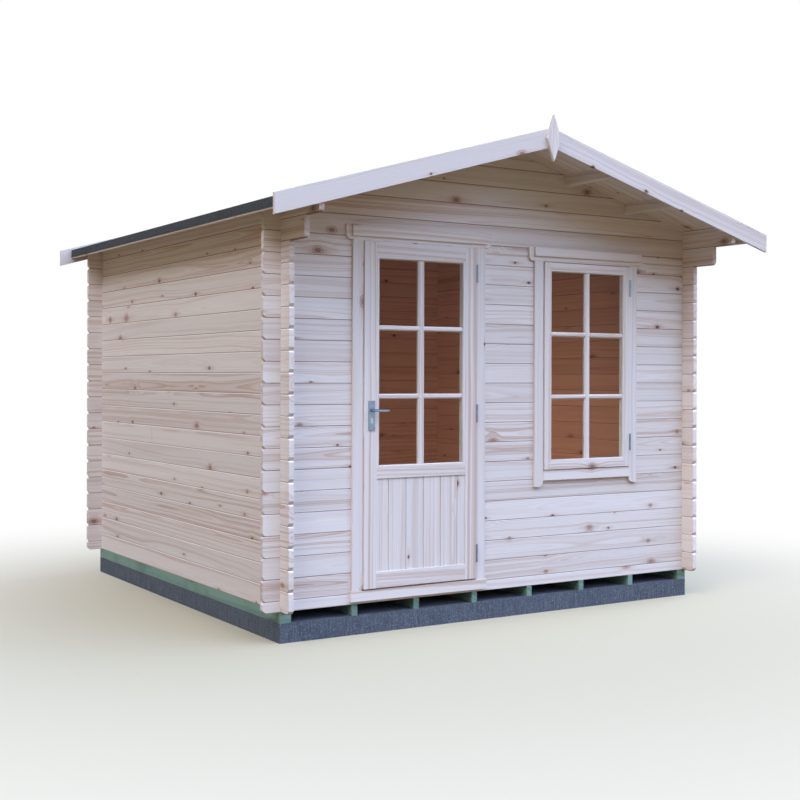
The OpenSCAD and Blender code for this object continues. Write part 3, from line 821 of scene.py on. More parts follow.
class Finishes:
    """Every finish of the cabin, made once and handed out by name."""

    def __init__(self) -> None:
        """Builds the shared groups and the plain finishes."""
        self.effects = Effects()
        self._spruce: dict[SpruceFinish, Material] = {}
        self.treated = TreatedFinish().material(self.effects)
        self.concrete = ConcreteFinish().material(self.effects)
        self.felt = FeltFinish().material(self.effects)
        self.glass = GlassFinish().material(self.effects)
        satin = MetalFinish("satin_metal", srgb(144, 161, 184), srgb(122, 140, 164), (0.30, 0.46))
        bright = MetalFinish("bright_metal", srgb(206, 210, 216), srgb(178, 184, 192), (0.24, 0.40))
        zinc = MetalFinish("zinc_nail", srgb(158, 162, 166), srgb(120, 124, 128), (0.42, 0.62))
        self.satin = satin.material(self.effects)
        self.bright = bright.material(self.effects)
        self.zinc = zinc.material(self.effects)

    def spruce(self, finish: SpruceFinish) -> Material:
        """Returns the material of a spruce finish, made when first asked for."""
        if finish not in self._spruce:
            self._spruce[finish] = finish.material(self.effects)
        return self._spruce[finish]


class Shape:
    """A mesh under construction."""

    def __init__(self) -> None:
        """Starts empty."""
        self.bm = bmesh.new()

    def skin(self, loops: Sequence[Sequence[Point]]) -> None:
        """Adds a closed form through loops of equally many points.

        Args:
            loops: Points of each loop, from one end of the form to the other.
        """
        rings = [[self.bm.verts.new(point) for point in loop] for loop in loops]
        for here, after in zip(rings, rings[1:]):
            for k in range(len(here)):
                m = (k + 1) % len(here)
                self.bm.faces.new((here[k], here[m], after[m], after[k]))
        self.bm.faces.new(rings[0][::-1])
        self.bm.faces.new(rings[-1])

    def prism(self, outline: Sequence[Point], way: Point) -> None:
        """Adds a flat outline pushed along a way, closed at both ends."""
        self.skin((outline, [Vector(point) + Vector(way) for point in outline]))

    def frame(self, opening: tuple[Pair, Pair], profile: Sequence[Pair], sides: Sequence[int]) -> None:
        """Adds mitred pieces along the edge of an upright opening.

        Args:
            opening: Limits of the opening in x and in z.
            profile: Closed section: distance in from the opening's edge, and y.
            sides: Which sides get a piece: 0 below, 1 right, 2 above, 3 left.
        """
        (x0, x1), (z0, z1) = opening
        corners = ((x0, 1.0, z0, 1.0), (x1, -1.0, z0, 1.0), (x1, -1.0, z1, -1.0), (x0, 1.0, z1, -1.0))
        for side in sides:
            ends = (corners[side], corners[(side + 1) % 4])
            self.skin([[(x + right * inset, y, z + up * inset) for inset, y in profile]
                       for x, right, z, up in ends])

    def tube(self, path: Sequence[Point], radii: Sequence[Pair], sides: int = 20) -> None:
        """Adds a closed tube of oval section along a level path.

        Args:
            path: Points of the middle line, all at one height.
            radii: Half width and half height at each point.
            sides: Sides of the section.
        """
        points = [Vector(p) for p in path]
        angles = [2.0 * math.pi * k / sides for k in range(sides)]
        loops = []
        for i, (point, (wide, tall)) in enumerate(zip(points, radii)):
            ahead = points[min(i + 1, len(points) - 1)] - points[max(i - 1, 0)]
            out = Vector((ahead.y, -ahead.x, 0.0)).normalized()
            loops.append([point + out * (wide * math.cos(angle)) + Vector((0.0, 0.0, tall * math.sin(angle)))
                          for angle in angles])
        self.skin(loops)

    def mesh(self, name: str, smooth_angle: float = 0.0) -> Mesh:
        """Ends the shape with its faces outwards.

        Args:
            name: Name of the mesh.
            smooth_angle: Edges flatter than this, in degrees, are shaded smooth.

        Returns:
            The mesh.
        """
        bmesh.ops.recalc_face_normals(self.bm, faces=self.bm.faces)
        made = bpy.data.meshes.new(name)
        if smooth_angle:
            limit = math.radians(smooth_angle)
            for face in self.bm.faces:
                face.smooth = True
            for edge in self.bm.edges:
                edge.smooth = len(edge.link_faces) == 2 and edge.calc_face_angle(0.0) < limit
        self.bm.to_mesh(made)
        self.bm.free()
        return made


class Repeats:
    """Geometry trees for what repeats."""

    def __init__(self) -> None:
        """Builds the trees."""
        self.row = self._row()
        self.studs = self._studs()

    @staticmethod
    def _place(g: Graph, out: Node, material: NodeSocket, **places: NodeSocket) -> None:
        """Ends a tree: sets copies on points, makes them real and gives them their material.

        Args:
            g: Graph of the tree.
            out: Its output node.
            material: Socket of the material.
            **places: Inputs of the node that sets the copies.
        """
        placed = g.fill(g.node("GeometryNodeInstanceOnPoints"), **places)
        real = g.fill(g.node("GeometryNodeRealizeInstances"), placed.outputs["Instances"])
        paint = g.fill(g.node("GeometryNodeSetMaterial"), Geometry=real.outputs[0], Material=material)
        g.fill(out, Geometry=paint.outputs["Geometry"])

    def _row(self) -> NodeTree:
        """A row of equal boards.

        Returns:
            A tree that repeats its geometry Count times by Step.
        """
        g, at, out = new_group(
            "board_row",
            {"Geometry": Socket.GEOMETRY, "Count": Socket.WHOLE, "Step": Socket.VECTOR,
             "Material": Socket.MATERIAL},
            {"Geometry": Socket.GEOMETRY}, "GeometryNodeTree")
        line = g.fill(g.node("GeometryNodeMeshLine", mode="OFFSET"), Count=at["Count"], Offset=at["Step"])
        self._place(g, out, at["Material"], Points=line.outputs["Mesh"], Instance=at["Geometry"])
        return g.tree

    def _studs(self) -> NodeTree:
        """A low domed head on every point, such as a nail's.

        Returns:
            A tree that puts a head of a Radius and Height on each point, turned by Turn.
        """
        g, at, out = new_group(
            "stud_heads",
            {"Geometry": Socket.GEOMETRY, "Radius": Socket.FLOAT, "Height": Socket.FLOAT,
             "Turn": Socket.VECTOR, "Material": Socket.MATERIAL},
            {"Geometry": Socket.GEOMETRY}, "GeometryNodeTree")
        head = g.node("GeometryNodeMeshCone", fill_type="NGON")
        g.fill(head, Vertices=10, Radius_Bottom=at["Radius"], Radius_Top=g.times(at["Radius"], 0.7),
               Depth=at["Height"])
        turn = g.fill(g.node("FunctionNodeEulerToRotation"), at["Turn"])
        self._place(g, out, at["Material"], Points=at["Geometry"], Instance=head.outputs["Mesh"],
                    Rotation=turn.outputs[0])
        return g.tree

    @staticmethod
    def grow(item: Object, tree: NodeTree, **values: object) -> None:
        """Runs a tree on an object and keeps the result as its plain mesh.

        Args:
            item: Object whose mesh the tree starts from.
            tree: Geometry tree.
            **values: Its inputs by name.
        """
        step = item.modifiers.new(tree.name, "NODES")
        step.node_group = tree
        for socket in tree.interface.items_tree:
            if socket.in_out == "INPUT" and socket.name in values:
                step[socket.identifier] = values[socket.name]
        ready = bpy.context.evaluated_depsgraph_get()
        mesh = bpy.data.meshes.new_from_object(item.evaluated_get(ready), preserve_all_data_layers=True,
                                               depsgraph=ready)
        item.modifiers.remove(step)
        mesh.name = item.name
        item.data = mesh


def add_piece(name: str, mesh: Mesh, material: Material) -> Object:
    """Adds an object at the origin.

    Args:
        name: Name of the piece.
        mesh: Its mesh, in place.
        material: Its material.

    Returns:
        The new object.
    """
    mesh.materials.clear()
    mesh.materials.append(material)
    item = bpy.data.objects.new(name, mesh)
    bpy.context.scene.collection.objects.link(item)
    return item


def settle(item: Object, body: Body, slot: Slot, *nodes: str) -> None:
    """Puts a piece on the body that it rides on, hides the solids it stands for and logs it.

    Args:
        item: The piece.
        body: Body that it moves with.
        slot: Material slot of the record. Not used.
        *nodes: Solids that it replaces.
    """
    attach(item, body.value)
    if nodes:
        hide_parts(*nodes)
    LOG.info("built %s with %d faces on %s", item.name, len(item.data.polygons), body.value)


@dataclass
class Cabin:
    """What every sub-assembly needs: the solids, the finishes and the trees."""

    nodes: dict[str, Object]
    finishes: Finishes
    repeats: Repeats
    weld: float = 1e-5
    flat_angle: float = math.radians(0.5)
    sharp_angle: float = math.radians(40)

    def spruce(self, grain: Grain, across: Axis, face: float, **options: object) -> Material:
        """Returns spruce with its fibres in a direction and its face in a plane."""
        return self.finishes.spruce(SpruceFinish(grain, across, face, **options))

    def dress(self, material: Material, *names: str, ease: float = 0.0) -> None:
        """Gives solids their material, and eased edges where a width is given.

        Args:
            material: Material for all of them.
            *names: Names of the solids' nodes.
            ease: Width of the eased edge in metres.
        """
        for name in names:
            item = self.nodes[name]
            item.data.materials.clear()
            item.data.materials.append(material)
            if ease:
                self._soften(item, ease)
            LOG.info("dressed %s in %s", name, material.name)

    def _soften(self, item: Object, width: float) -> None:
        """Eases the sharp edges of a solid.

        Args:
            item: Object of the solid.
            width: Width of the eased edge in metres.
        """
        weld = item.modifiers.new("weld", "WELD")
        weld.merge_threshold = self.weld
        plain = item.modifiers.new("plain", "DECIMATE")
        plain.decimate_type = "DISSOLVE"
        plain.angle_limit = self.flat_angle
        ease = item.modifiers.new("ease", "BEVEL")
        ease.width = width
        ease.segments = 2
        ease.limit_method = "ANGLE"
        ease.angle_limit = self.sharp_angle
        ease.harden_normals = False

    def board_row(self, name: str, first: Shape, material: Material, layout: tuple[int, float],
                  node: str) -> None:
        """Lays boards side by side along y, in place of a plain solid.

        Args:
            name: Name of the piece.
            first: First board, in place.
            material: Finish of the boards.
            layout: Number of boards and width of each.
            node: Solid that they replace.
        """
        count, width = layout
        item = add_piece(name, first.mesh(name), material)
        self.repeats.grow(item, self.repeats.row, Count=count, Step=(0.0, width, 0.0), Material=material)
        settle(item, Body.CABIN, Slot.BOARDS, node)


@dataclass
class Base:
    """Concrete base and the bearers on it."""

    cabin: Cabin

    def build(self) -> None:
        """Dresses the base and its bearers."""
        self.cabin.dress(self.cabin.finishes.concrete, "concrete_base")
        self.cabin.dress(self.cabin.finishes.treated, "bearers", ease=EASE)


@dataclass
class Walls:
    """Log walls, with their plates and brackets."""

    cabin: Cabin
    joint: float = 0.0048
    # Share of the painted highlight along the upper edge of each side wall's logs.
    lip: float = 0.85
    butt: Pair = (7.0, 0.407)
    left_tones: WoodTones = WoodTones(streak=srgb(217, 196, 188), late=srgb(186, 146, 130))
    # Paler tones of the right wall: painted light, standing in for the brighter light on its log ends at the
    # front corner.
    right_painted_light_tones: WoodTones = WoodTones(srgb(248, 239, 235), srgb(235, 217, 208), srgb(214, 186, 170))
    right_knots: float = 0.26

    def build(self) -> None:
        """Dresses the logs with fibres along them and a line at every joint, with a painted highlight along
        the upper edge of each side wall's logs.
        """
        cabin = self.cabin
        side = BoardRow(WALL_FOOT, COURSE, self.joint)
        end = BoardRow(WALL_FOOT - COURSE / 2, COURSE, self.joint)
        left = cabin.spruce(Grain.ALONG_Y, Axis.Z, WALL_HALF_W, row=side, butt=self.butt, seed=3.0,
                            lip=self.lip, tones=self.left_tones)
        right = cabin.spruce(Grain.ALONG_Y, Axis.Z, WALL_HALF_W, row=side, seed=51.0, lip=self.lip,
                             tones=self.right_painted_light_tones, knottiness=self.right_knots)
        front = cabin.spruce(Grain.ALONG_X, Axis.Z, WALL_HALF_D, row=end, seed=107.0)
        back = cabin.spruce(Grain.ALONG_X, Axis.Z, WALL_HALF_D, row=end, seed=151.0)
        cabin.dress(left, *courses("left_wall"), "bracket_logs", "wall_plates")
        cabin.dress(right, *courses("right_wall"))
        cabin.dress(front, "front_sill_log", *courses("front_left", "front_right", "front_gable"))
        cabin.dress(back, *courses("back_wall"))


@dataclass
class FloorBoards:
    """Tongued floor boards across the bearers."""

    cabin: Cabin
    count: int = 24
    chamfer: float = 0.003

    def build(self) -> None:
        """Lays the boards in place of the plain floor."""
        low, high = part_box("floor")
        width = (high.y - low.y) / self.count
        c = self.chamfer
        y0, y1 = low.y, low.y + width
        section = ((y0, low.z), (y1, low.z), (y1, high.z - c), (y1 - c, high.z), (y0 + c, high.z),
                   (y0, high.z - c))
        shape = Shape()
        shape.prism([(low.x, y, z) for y, z in section], (high.x - low.x, 0.0, 0.0))
        finish = self.cabin.spruce(Grain.ALONG_X, Axis.Y, WALL_FOOT, row=BoardRow(low.y, width), seed=211.0)
        self.cabin.board_row("floor_boards", shape, finish, (self.count, width), "floor")


@dataclass
class Roof:
    """Roof boarding, felt with its laps, purlins and edge boards."""

    cabin: Cabin
    board_count: int = 34
    board_t: float = 0.018
    groove: float = 0.004
    felt_t: float = 0.0025
    felt_gap: float = 0.0002
    crown: float = 0.02
    lap_from_ridge: float = 0.79
    lap_steps: int = 60
    lap_waver: Pair = (0.0012, 0.0009)
    lap_lift: float = 0.0006
    cap_reach: float = 0.16
    cap_flat: float = 0.001
    nail_pitch: float = 0.075
    nail_start: Pair = (0.03, 0.05)
    nail_inset: Pair = (0.02, 0.018)
    nail: Pair = (0.0045, 0.0016)
    barge_drop: float = 0.037
    barge_seed: Pair = (311.0, 313.0)
    # The left bargeboard's pale is darker than the right one's: painted shade, standing in for the lesser
    # light on the left board.
    barge_pale_left_shaded: tuple[Colour, Colour] = (srgb(224, 216, 214), srgb(236, 229, 227))
    barge_streak: Colour = srgb(224, 210, 205)
    barge_late: Colour = srgb(205, 178, 166)
    front: float = field(init=False)
    back: float = field(init=False)
    ridge: float = field(init=False)

    def __post_init__(self) -> None:
        """Reads the roof's limits from the solids."""
        low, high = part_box("left_felt")
        self.front, self.back, self.ridge = low.y, high.y, high.z

    def build(self) -> None:
        """Builds and dresses the roof."""
        cabin = self.cabin
        lengthwise = cabin.spruce(Grain.ALONG_Y, Axis.Z, 0.0, seed=303.0)
        cabin.dress(lengthwise, "purlins", ease=EASE)
        cabin.dress(lengthwise, "eaves_boards")
        middle = math.cos(PITCH) * (self.ridge - self.barge_drop)
        for slope, seed, pale in zip(Slope, self.barge_seed, self.barge_pale_left_shaded):
            tones = WoodTones(pale, self.barge_streak, self.barge_late)
            finish = cabin.spruce(slope.grain, Axis.Z, -self.front, middle=middle, seed=seed, tones=tones)
            cabin.dress(finish, f"{slope.label}_bargeboards", ease=EASE)
        upright = cabin.spruce(Grain.ALONG_Z, Axis.X, -self.front, seed=317.0, knottiness=0.0)
        cabin.dress(upright, "finial", ease=EASE)
        cabin.dress(cabin.finishes.felt, "left_felt", "right_felt")
        for slope in Slope:
            self._boarding(slope)
            self._lap(slope)
            self._nails(slope)
        self._ridge_cap()

    def _boarding(self, slope: Slope) -> None:
        """Lays the boards of one slope, grooved below where they meet.

        Args:
            slope: Slope of the roof.
        """
        node = f"{slope.label}_roof_boards"
        low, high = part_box(node)
        width = (high.y - low.y) / self.board_count
        rise = self.board_t / math.cos(PITCH)
        eave = low.x if slope is Slope.LEFT else high.x
        c = self.groove
        section = ((0.0, c), (c, 0.0), (width - c, 0.0), (width, c), (width, rise), (0.0, rise))
        shape = Shape()
        shape.prism([(0.0, low.y + y, high.z - rise + z) for y, z in section],
                    (eave, 0.0, -abs(eave) * math.tan(PITCH)))
        finish = self.cabin.spruce(slope.grain, Axis.Y, math.cos(PITCH) * high.z, row=BoardRow(low.y, width),
                                   seed=331.0)
        self.cabin.board_row(f"{slope.label}_boarding", shape, finish, (self.board_count, width), node)

    def _on_slope(self, slope: Slope, down: float, up: float, y: float) -> Point:
        """A point on a slope.

        Args:
            slope: Slope of the roof.
            down: Distance down from the ridge along the felt.
            up: Height above the felt.
            y: Place along the ridge.

        Returns:
            The point.
        """
        cos, sin = math.cos(PITCH), math.sin(PITCH)
        return (slope.sign * (down * cos + up * sin), y, self.ridge - down * sin + up * cos)

    def _lap(self, slope: Slope) -> None:
        """Adds the upper width of felt, which laps the lower one with a slightly wavy edge.

        Args:
            slope: Slope of the roof.
        """
        rows = []
        for i in range(self.lap_steps + 1):
            y = self.front + (self.back - self.front) * i / self.lap_steps
            quick, slow = math.sin(i * 1.7), math.sin(i * 0.53 + slope.sign)
            edge = self.lap_from_ridge + self.lap_waver[0] * quick + self.lap_waver[1] * slow
            lift = self.lap_lift * (1.0 + math.sin(i * 0.9 + slope.sign))
            profile = ((self.crown, self.felt_gap), (edge, self.felt_gap), (edge, self.felt_t + lift),
                       (self.crown, self.felt_t))
            rows.append([self._on_slope(slope, down, up, y) for down, up in profile])
        shape = Shape()
        shape.skin(rows)
        name = f"{slope.label}_felt_lap"
        settle(add_piece(name, shape.mesh(name), self.cabin.finishes.felt), Body.CABIN, Slot.FELT)

    def _nails(self, slope: Slope) -> None:
        """Adds the nails along the lap and along the edge of the ridge strip.

        Args:
            slope: Slope of the roof.
        """
        count = int((self.back - self.front - 2.0 * self.nail_start[0]) / self.nail_pitch)
        edges = (self.lap_from_ridge, self.cap_reach)
        rows = zip(edges, self.nail_inset, self.nail_start, (count + 1, count))
        points = []
        for layers, (edge, inset, start, number) in enumerate(rows, 1):
            up = layers * self.felt_t + self.felt_gap
            points += [self._on_slope(slope, edge - inset, up, self.front + start + i * self.nail_pitch)
                       for i in range(number)]
        name = f"{slope.label}_felt_nails"
        mesh = bpy.data.meshes.new(name)
        mesh.from_pydata(points, [], [])
        zinc = self.cabin.finishes.zinc
        nails = add_piece(name, mesh, zinc)
        repeats = self.cabin.repeats
        repeats.grow(nails, repeats.studs, Radius=self.nail[0], Height=self.nail[1],
                     Turn=(0.0, slope.sign * PITCH, 0.0), Material=zinc)
        settle(nails, Body.CABIN, Slot.METAL)

    def _ridge_cap(self) -> None:
        """Adds the strip of felt folded over the ridge."""
        under, over = self.felt_t + self.felt_gap, 2.0 * self.felt_t
        edge = ((self.cap_reach, under), (self.cap_reach, over), (self.crown, over))
        left, right = ([self._on_slope(slope, down, up, self.front) for down, up in edge] for slope in Slope)
        profile = [left[0], (0.0, self.front, self.ridge + under / math.cos(PITCH)), *right,
                   (0.0, self.front, self.ridge + over - self.cap_flat), left[2], left[1]]
        shape = Shape()
        shape.prism(profile, (0.0, self.back - self.front, 0.0))
        name = "felt_ridge_cap"
        settle(add_piece(name, shape.mesh(name), self.cabin.finishes.felt), Body.CABIN, Slot.FELT)


@dataclass
class Glazing:
    """Bars and beads of one glazed leaf, on both faces of the glass."""

    cabin: Cabin
    name: str
    glass: str
    leaf: str
    body: Body
    bead_w: float = 0.018
    bead_set_back: float = 0.001
    bead_slope: float = 0.004
    bead_fall: float = 0.35
    bead_ease: float = 0.0015
    upright_w: float = 0.040
    level_w: float = 0.0275
    rows: int = 3
    bar_set_back: float = 0.005
    level_set_back: float = 0.0015
    shoulder: float = 0.004
    flat_share: float = 0.46
    knottiness: float = 0.05

    def build(self) -> None:
        """Builds the bars and the beads."""
        glass_low, glass_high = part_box(self.glass)
        leaf_low, leaf_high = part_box(self.leaf)
        span_x = (glass_low.x + REBATE, glass_high.x - REBATE)
        span_z = (glass_low.z + REBATE, glass_high.z - REBATE)
        x0, x1 = span_x[0] + self.bead_w, span_x[1] - self.bead_w
        z0, z1 = span_z[0] + self.bead_w, span_z[1] - self.bead_w
        uprights, levels = Shape(), Shape()
        for near, leaf_face, back in ((glass_low.y, leaf_low.y, 1.0), (glass_high.y, leaf_high.y, -1.0)):
            far = leaf_face + back * self.bar_set_back
            section = self._section(near, far, self.upright_w)
            uprights.prism([((x0 + x1) / 2 + across, y, z0) for across, y in section], (0.0, 0.0, z1 - z0))
            section = self._section(near, far + back * self.level_set_back, self.level_w)
            for i in range(1, self.rows):
                z = z0 + (z1 - z0) * i / self.rows
                levels.prism([(x0, y, z + across) for across, y in section], (x1 - x0, 0.0, 0.0))
            beads = self._bead(near, leaf_face + back * self.bead_set_back)
            uprights.frame((span_x, span_z), beads, (1, 3))
            levels.frame((span_x, span_z), beads, (0, 2))
        self._add(f"{self.name}_upright_bars", uprights, Grain.ALONG_Z, Axis.X)
        self._add(f"{self.name}_level_bars", levels, Grain.ALONG_X, Axis.Z)

    def _bead(self, near: float, far: float) -> Sequence[Pair]:
        """Section of a bead that slopes towards the glass.

        Args:
            near: y of the glass's face.
            far: y of the bead's face.

        Returns:
            Distance in from the edge of the leaf's opening, and y, of each point.
        """
        ease = math.copysign(self.bead_ease, far - near)
        return ((0.0, near), (self.bead_w, near), (self.bead_w, far - (far - near) * self.bead_fall),
                (self.bead_w - self.bead_slope, far), (self.bead_ease, far), (0.0, far - ease))

    def _section(self, near: float, far: float, width: float) -> Sequence[Pair]:
        """Section of a bar that narrows away from the glass.

        Args:
            near: y of the glass's face.
            far: y of the bar's face.
            width: Width of the bar at the glass.

        Returns:
            Distance across from the bar's middle, and y, of each point.
        """
        step = near + math.copysign(self.shoulder, far - near)
        half, flat = width / 2, width * self.flat_share / 2
        return ((-half, near), (-half, step), (-flat, far), (flat, far), (half, step), (half, near))

    def _add(self, name: str, shape: Shape, grain: Grain, across: Axis) -> None:
        """Adds one set of bars to the scene."""
        finish = self.cabin.spruce(grain, across, WALL_HALF_D, seed=401.0, knottiness=self.knottiness)
        settle(add_piece(name, shape.mesh(name), finish), self.body, Slot.JOINERY)


@dataclass
class Joinery:
    """Frames, stops and trim of the door and the window."""

    cabin: Cabin
    upright_nodes: tuple[str, ...] = (
        "door_posts", "door_stops", "door_trims", "window_posts", "window_stops", "window_trims",
        "sash_stiles")
    level_nodes: tuple[str, ...] = (
        "door_frame_ends", "door_threshold", "window_frame_ends", "window_sill", "sash_rails", "head_boards",
        "drip_boards")
    upright_knots: float = 0.22
    level_knots: float = 0.12
    swirl: float = 0.05
    strip_set_back: float = 0.0005
    strip_depth: float = 0.012
    strip_play: float = 0.002

    def build(self) -> None:
        """Dresses the joinery and glazes the window."""
        cabin = self.cabin
        upright = cabin.spruce(Grain.ALONG_Z, Axis.X, WALL_HALF_D, seed=431.0, knottiness=self.upright_knots,
                               swirl=self.swirl)
        level = cabin.spruce(Grain.ALONG_X, Axis.Z, WALL_HALF_D, seed=433.0, knottiness=self.level_knots,
                             swirl=self.swirl)
        cabin.dress(upright, *self.upright_nodes, ease=EASE)
        cabin.dress(level, *self.level_nodes, ease=EASE)
        cabin.dress(cabin.finishes.glass, "window_glass")
        cabin.dress(cabin.finishes.satin, "window_hinges", "door_hinge_pins")
        self._draught_strip(upright)
        Glazing(cabin, "window", "window_glass", "sash_stiles", Body.CABIN).build()

    def _draught_strip(self, finish: Material) -> None:
        """Adds the strip in the frame that closes the gap beside and above the door leaf.

        Args:
            finish: Finish of the strip.
        """
        leaf_low, leaf_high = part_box("door_stiles")
        trim_low, trim_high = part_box("door_trims")
        near = trim_low.y + self.strip_set_back
        far = near + self.strip_depth
        gap = trim_high.z - leaf_high.z
        inner = leaf_low.x - self.strip_play
        shape = Shape()
        for x0, x1, z0 in ((leaf_low.x - gap, inner, leaf_low.z),
                           (inner, leaf_high.x, leaf_high.z + self.strip_play)):
            shape.prism([(x0, near, z0), (x1, near, z0), (x1, far, z0), (x0, far, z0)],
                        (0.0, 0.0, trim_high.z - z0))
        name = "door_draught_strip"
        settle(add_piece(name, shape.mesh(name), finish), Body.CABIN, Slot.JOINERY)


@dataclass
class Door:
    """Glazed leaf with its boarded panel, hinges, plates, lever and lock."""

    cabin: Cabin
    leaf_knots: float = 0.2
    leaf_swirl: float = 0.05
    board_w: float = 0.110
    first_seam: float = -0.772
    seam_line: float = 0.002
    chamfer: Pair = (0.0025, 0.002)
    panel_tones: WoodTones = WoodTones(streak=srgb(224, 206, 197))
    panel_knots: float = 0.3
    plate_ease: float = 0.0012
    spindle: Pair = (0.012, 0.004)
    lever_reach: float = 0.040
    lever_bend: float = 0.018
    bend_steps: int = 8
    grip_end: float = 0.082
    grip_steps: int = 7
    grip: Pair = (0.0075, 0.0085)
    grip_taper: float = 0.0018
    grip_tip: Pair = (0.0042, 0.0045)
    lever_smooth: float = 40.0
    lock_drop: float = 0.044
    lock_round: float = 0.0052
    lock_slot: Pair = (0.0074, 0.0236)
    lock_depth: Pair = (0.0008, 0.0055)
    lock_steps: int = 16

    def build(self) -> None:
        """Builds and dresses the door."""
        cabin = self.cabin
        for node, grain, across, seed in (("door_stiles", Grain.ALONG_Z, Axis.X, 503.0),
                                          ("door_rails", Grain.ALONG_X, Axis.Z, 509.0)):
            finish = cabin.spruce(grain, across, WALL_HALF_D, seed=seed, knottiness=self.leaf_knots,
                                  swirl=self.leaf_swirl)
            cabin.dress(finish, node, ease=EASE)
        cabin.dress(cabin.finishes.glass, "door_glass")
        cabin.dress(cabin.finishes.satin, "door_hinge_sockets")
        cabin.dress(cabin.finishes.satin, "door_plates", ease=self.plate_ease)
        Glazing(cabin, "door", "door_glass", "door_stiles", Body.DOOR).build()
        self._panel()
        self._lever()
        self._lock()

    def _panel(self) -> None:
        """Builds the upright boards of the panel, with a fine groove where they meet."""
        low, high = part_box("door_panel")
        cx, cy = self.chamfer
        seams = [low.x]
        seam = self.first_seam
        while seam < high.x - self.board_w / 4:
            seams.append(seam)
            seam += self.board_w
        seams.append(high.x)
        shape = Shape()
        for x0, x1 in zip(seams, seams[1:]):
            section = ((x0, low.y + cy), (x0 + cx, low.y), (x1 - cx, low.y), (x1, low.y + cy),
                       (x1, high.y - cy), (x1 - cx, high.y), (x0 + cx, high.y), (x0, high.y - cy))
            shape.prism([(x, y, low.z) for x, y in section], (0.0, 0.0, high.z - low.z))
        row = BoardRow(self.first_seam, self.board_w, self.seam_line)
        finish = self.cabin.spruce(Grain.ALONG_Z, Axis.X, WALL_HALF_D, row=row, seed=521.0,
                                   knottiness=self.panel_knots, tones=self.panel_tones)
        name = "door_panel_boards"
        settle(add_piece(name, shape.mesh(name), finish), Body.DOOR, Slot.BOARDS, "door_panel")

    @staticmethod
    def _axle() -> tuple[float, float, Pair]:
        """Place of the lever's axle on the plates.

        Returns:
            x and z of the axle, and y of the outer and the inner plate's face.
        """
        low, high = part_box("door_lever")
        plate_low, plate_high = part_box("door_plates")
        return (plate_low.x + plate_high.x) / 2, (low.z + high.z) / 2, (plate_low.y, plate_high.y)

    def _lever(self) -> None:
        """Builds the lever: a spindle through the leaf and a bent grip on each side."""
        x, z, plates = self._axle()
        bend = self.lever_bend
        shape = Shape()
        for out, plate in zip((-1.0, 1.0), plates):
            end_y = plate + out * self.lever_reach
            inner, outer = self.spindle
            path: list[Point] = [(x, plate - out * inner, z), (x, plate + out * outer, z)]
            for i in range(self.bend_steps + 1):
                angle = math.pi / 2 * i / self.bend_steps
                across, back = 1.0 - math.cos(angle), 1.0 - math.sin(angle)
                path.append((x + bend * across, end_y - out * bend * back, z))
            for i in range(1, self.grip_steps + 1):
                path.append((x + bend + (self.grip_end - bend) * i / self.grip_steps, end_y, z))
            count = len(path)
            wide, tall = self.grip
            radii = [(wide, tall - self.grip_taper * max(0, i - 3) / count) for i in range(count)]
            radii[-1] = self.grip_tip
            shape.tube(path, radii)
        name = "lever_handle"
        lever = add_piece(name, shape.mesh(name, self.lever_smooth), self.cabin.finishes.satin)
        settle(lever, Body.LEVER, Slot.METAL, "door_lever")

    def _lock(self) -> None:
        """Adds the lock's barrel in the keyhole of each plate."""
        x, z, plates = self._axle()
        z -= self.lock_drop
        half, drop = self.lock_slot[0] / 2, self.lock_slot[1]
        start = math.asin(-half / self.lock_round)
        shape = Shape()
        for inward, plate in zip((1.0, -1.0), plates):
            y = plate + inward * self.lock_depth[0]
            outline: list[Point] = [(x - half, y, z - drop), (x + half, y, z - drop)]
            for i in range(self.lock_steps + 1):
                angle = math.pi - start - (math.pi - 2.0 * start) * i / self.lock_steps
                across, up = math.cos(angle), math.sin(angle)
                outline.append((x - self.lock_round * across, y, z + self.lock_round * up))
            shape.prism(outline, (0.0, inward * (self.lock_depth[1] - self.lock_depth[0]), 0.0))
        name = "lock_barrel"
        settle(add_piece(name, shape.mesh(name), self.cabin.finishes.bright), Body.DOOR, Slot.METAL)


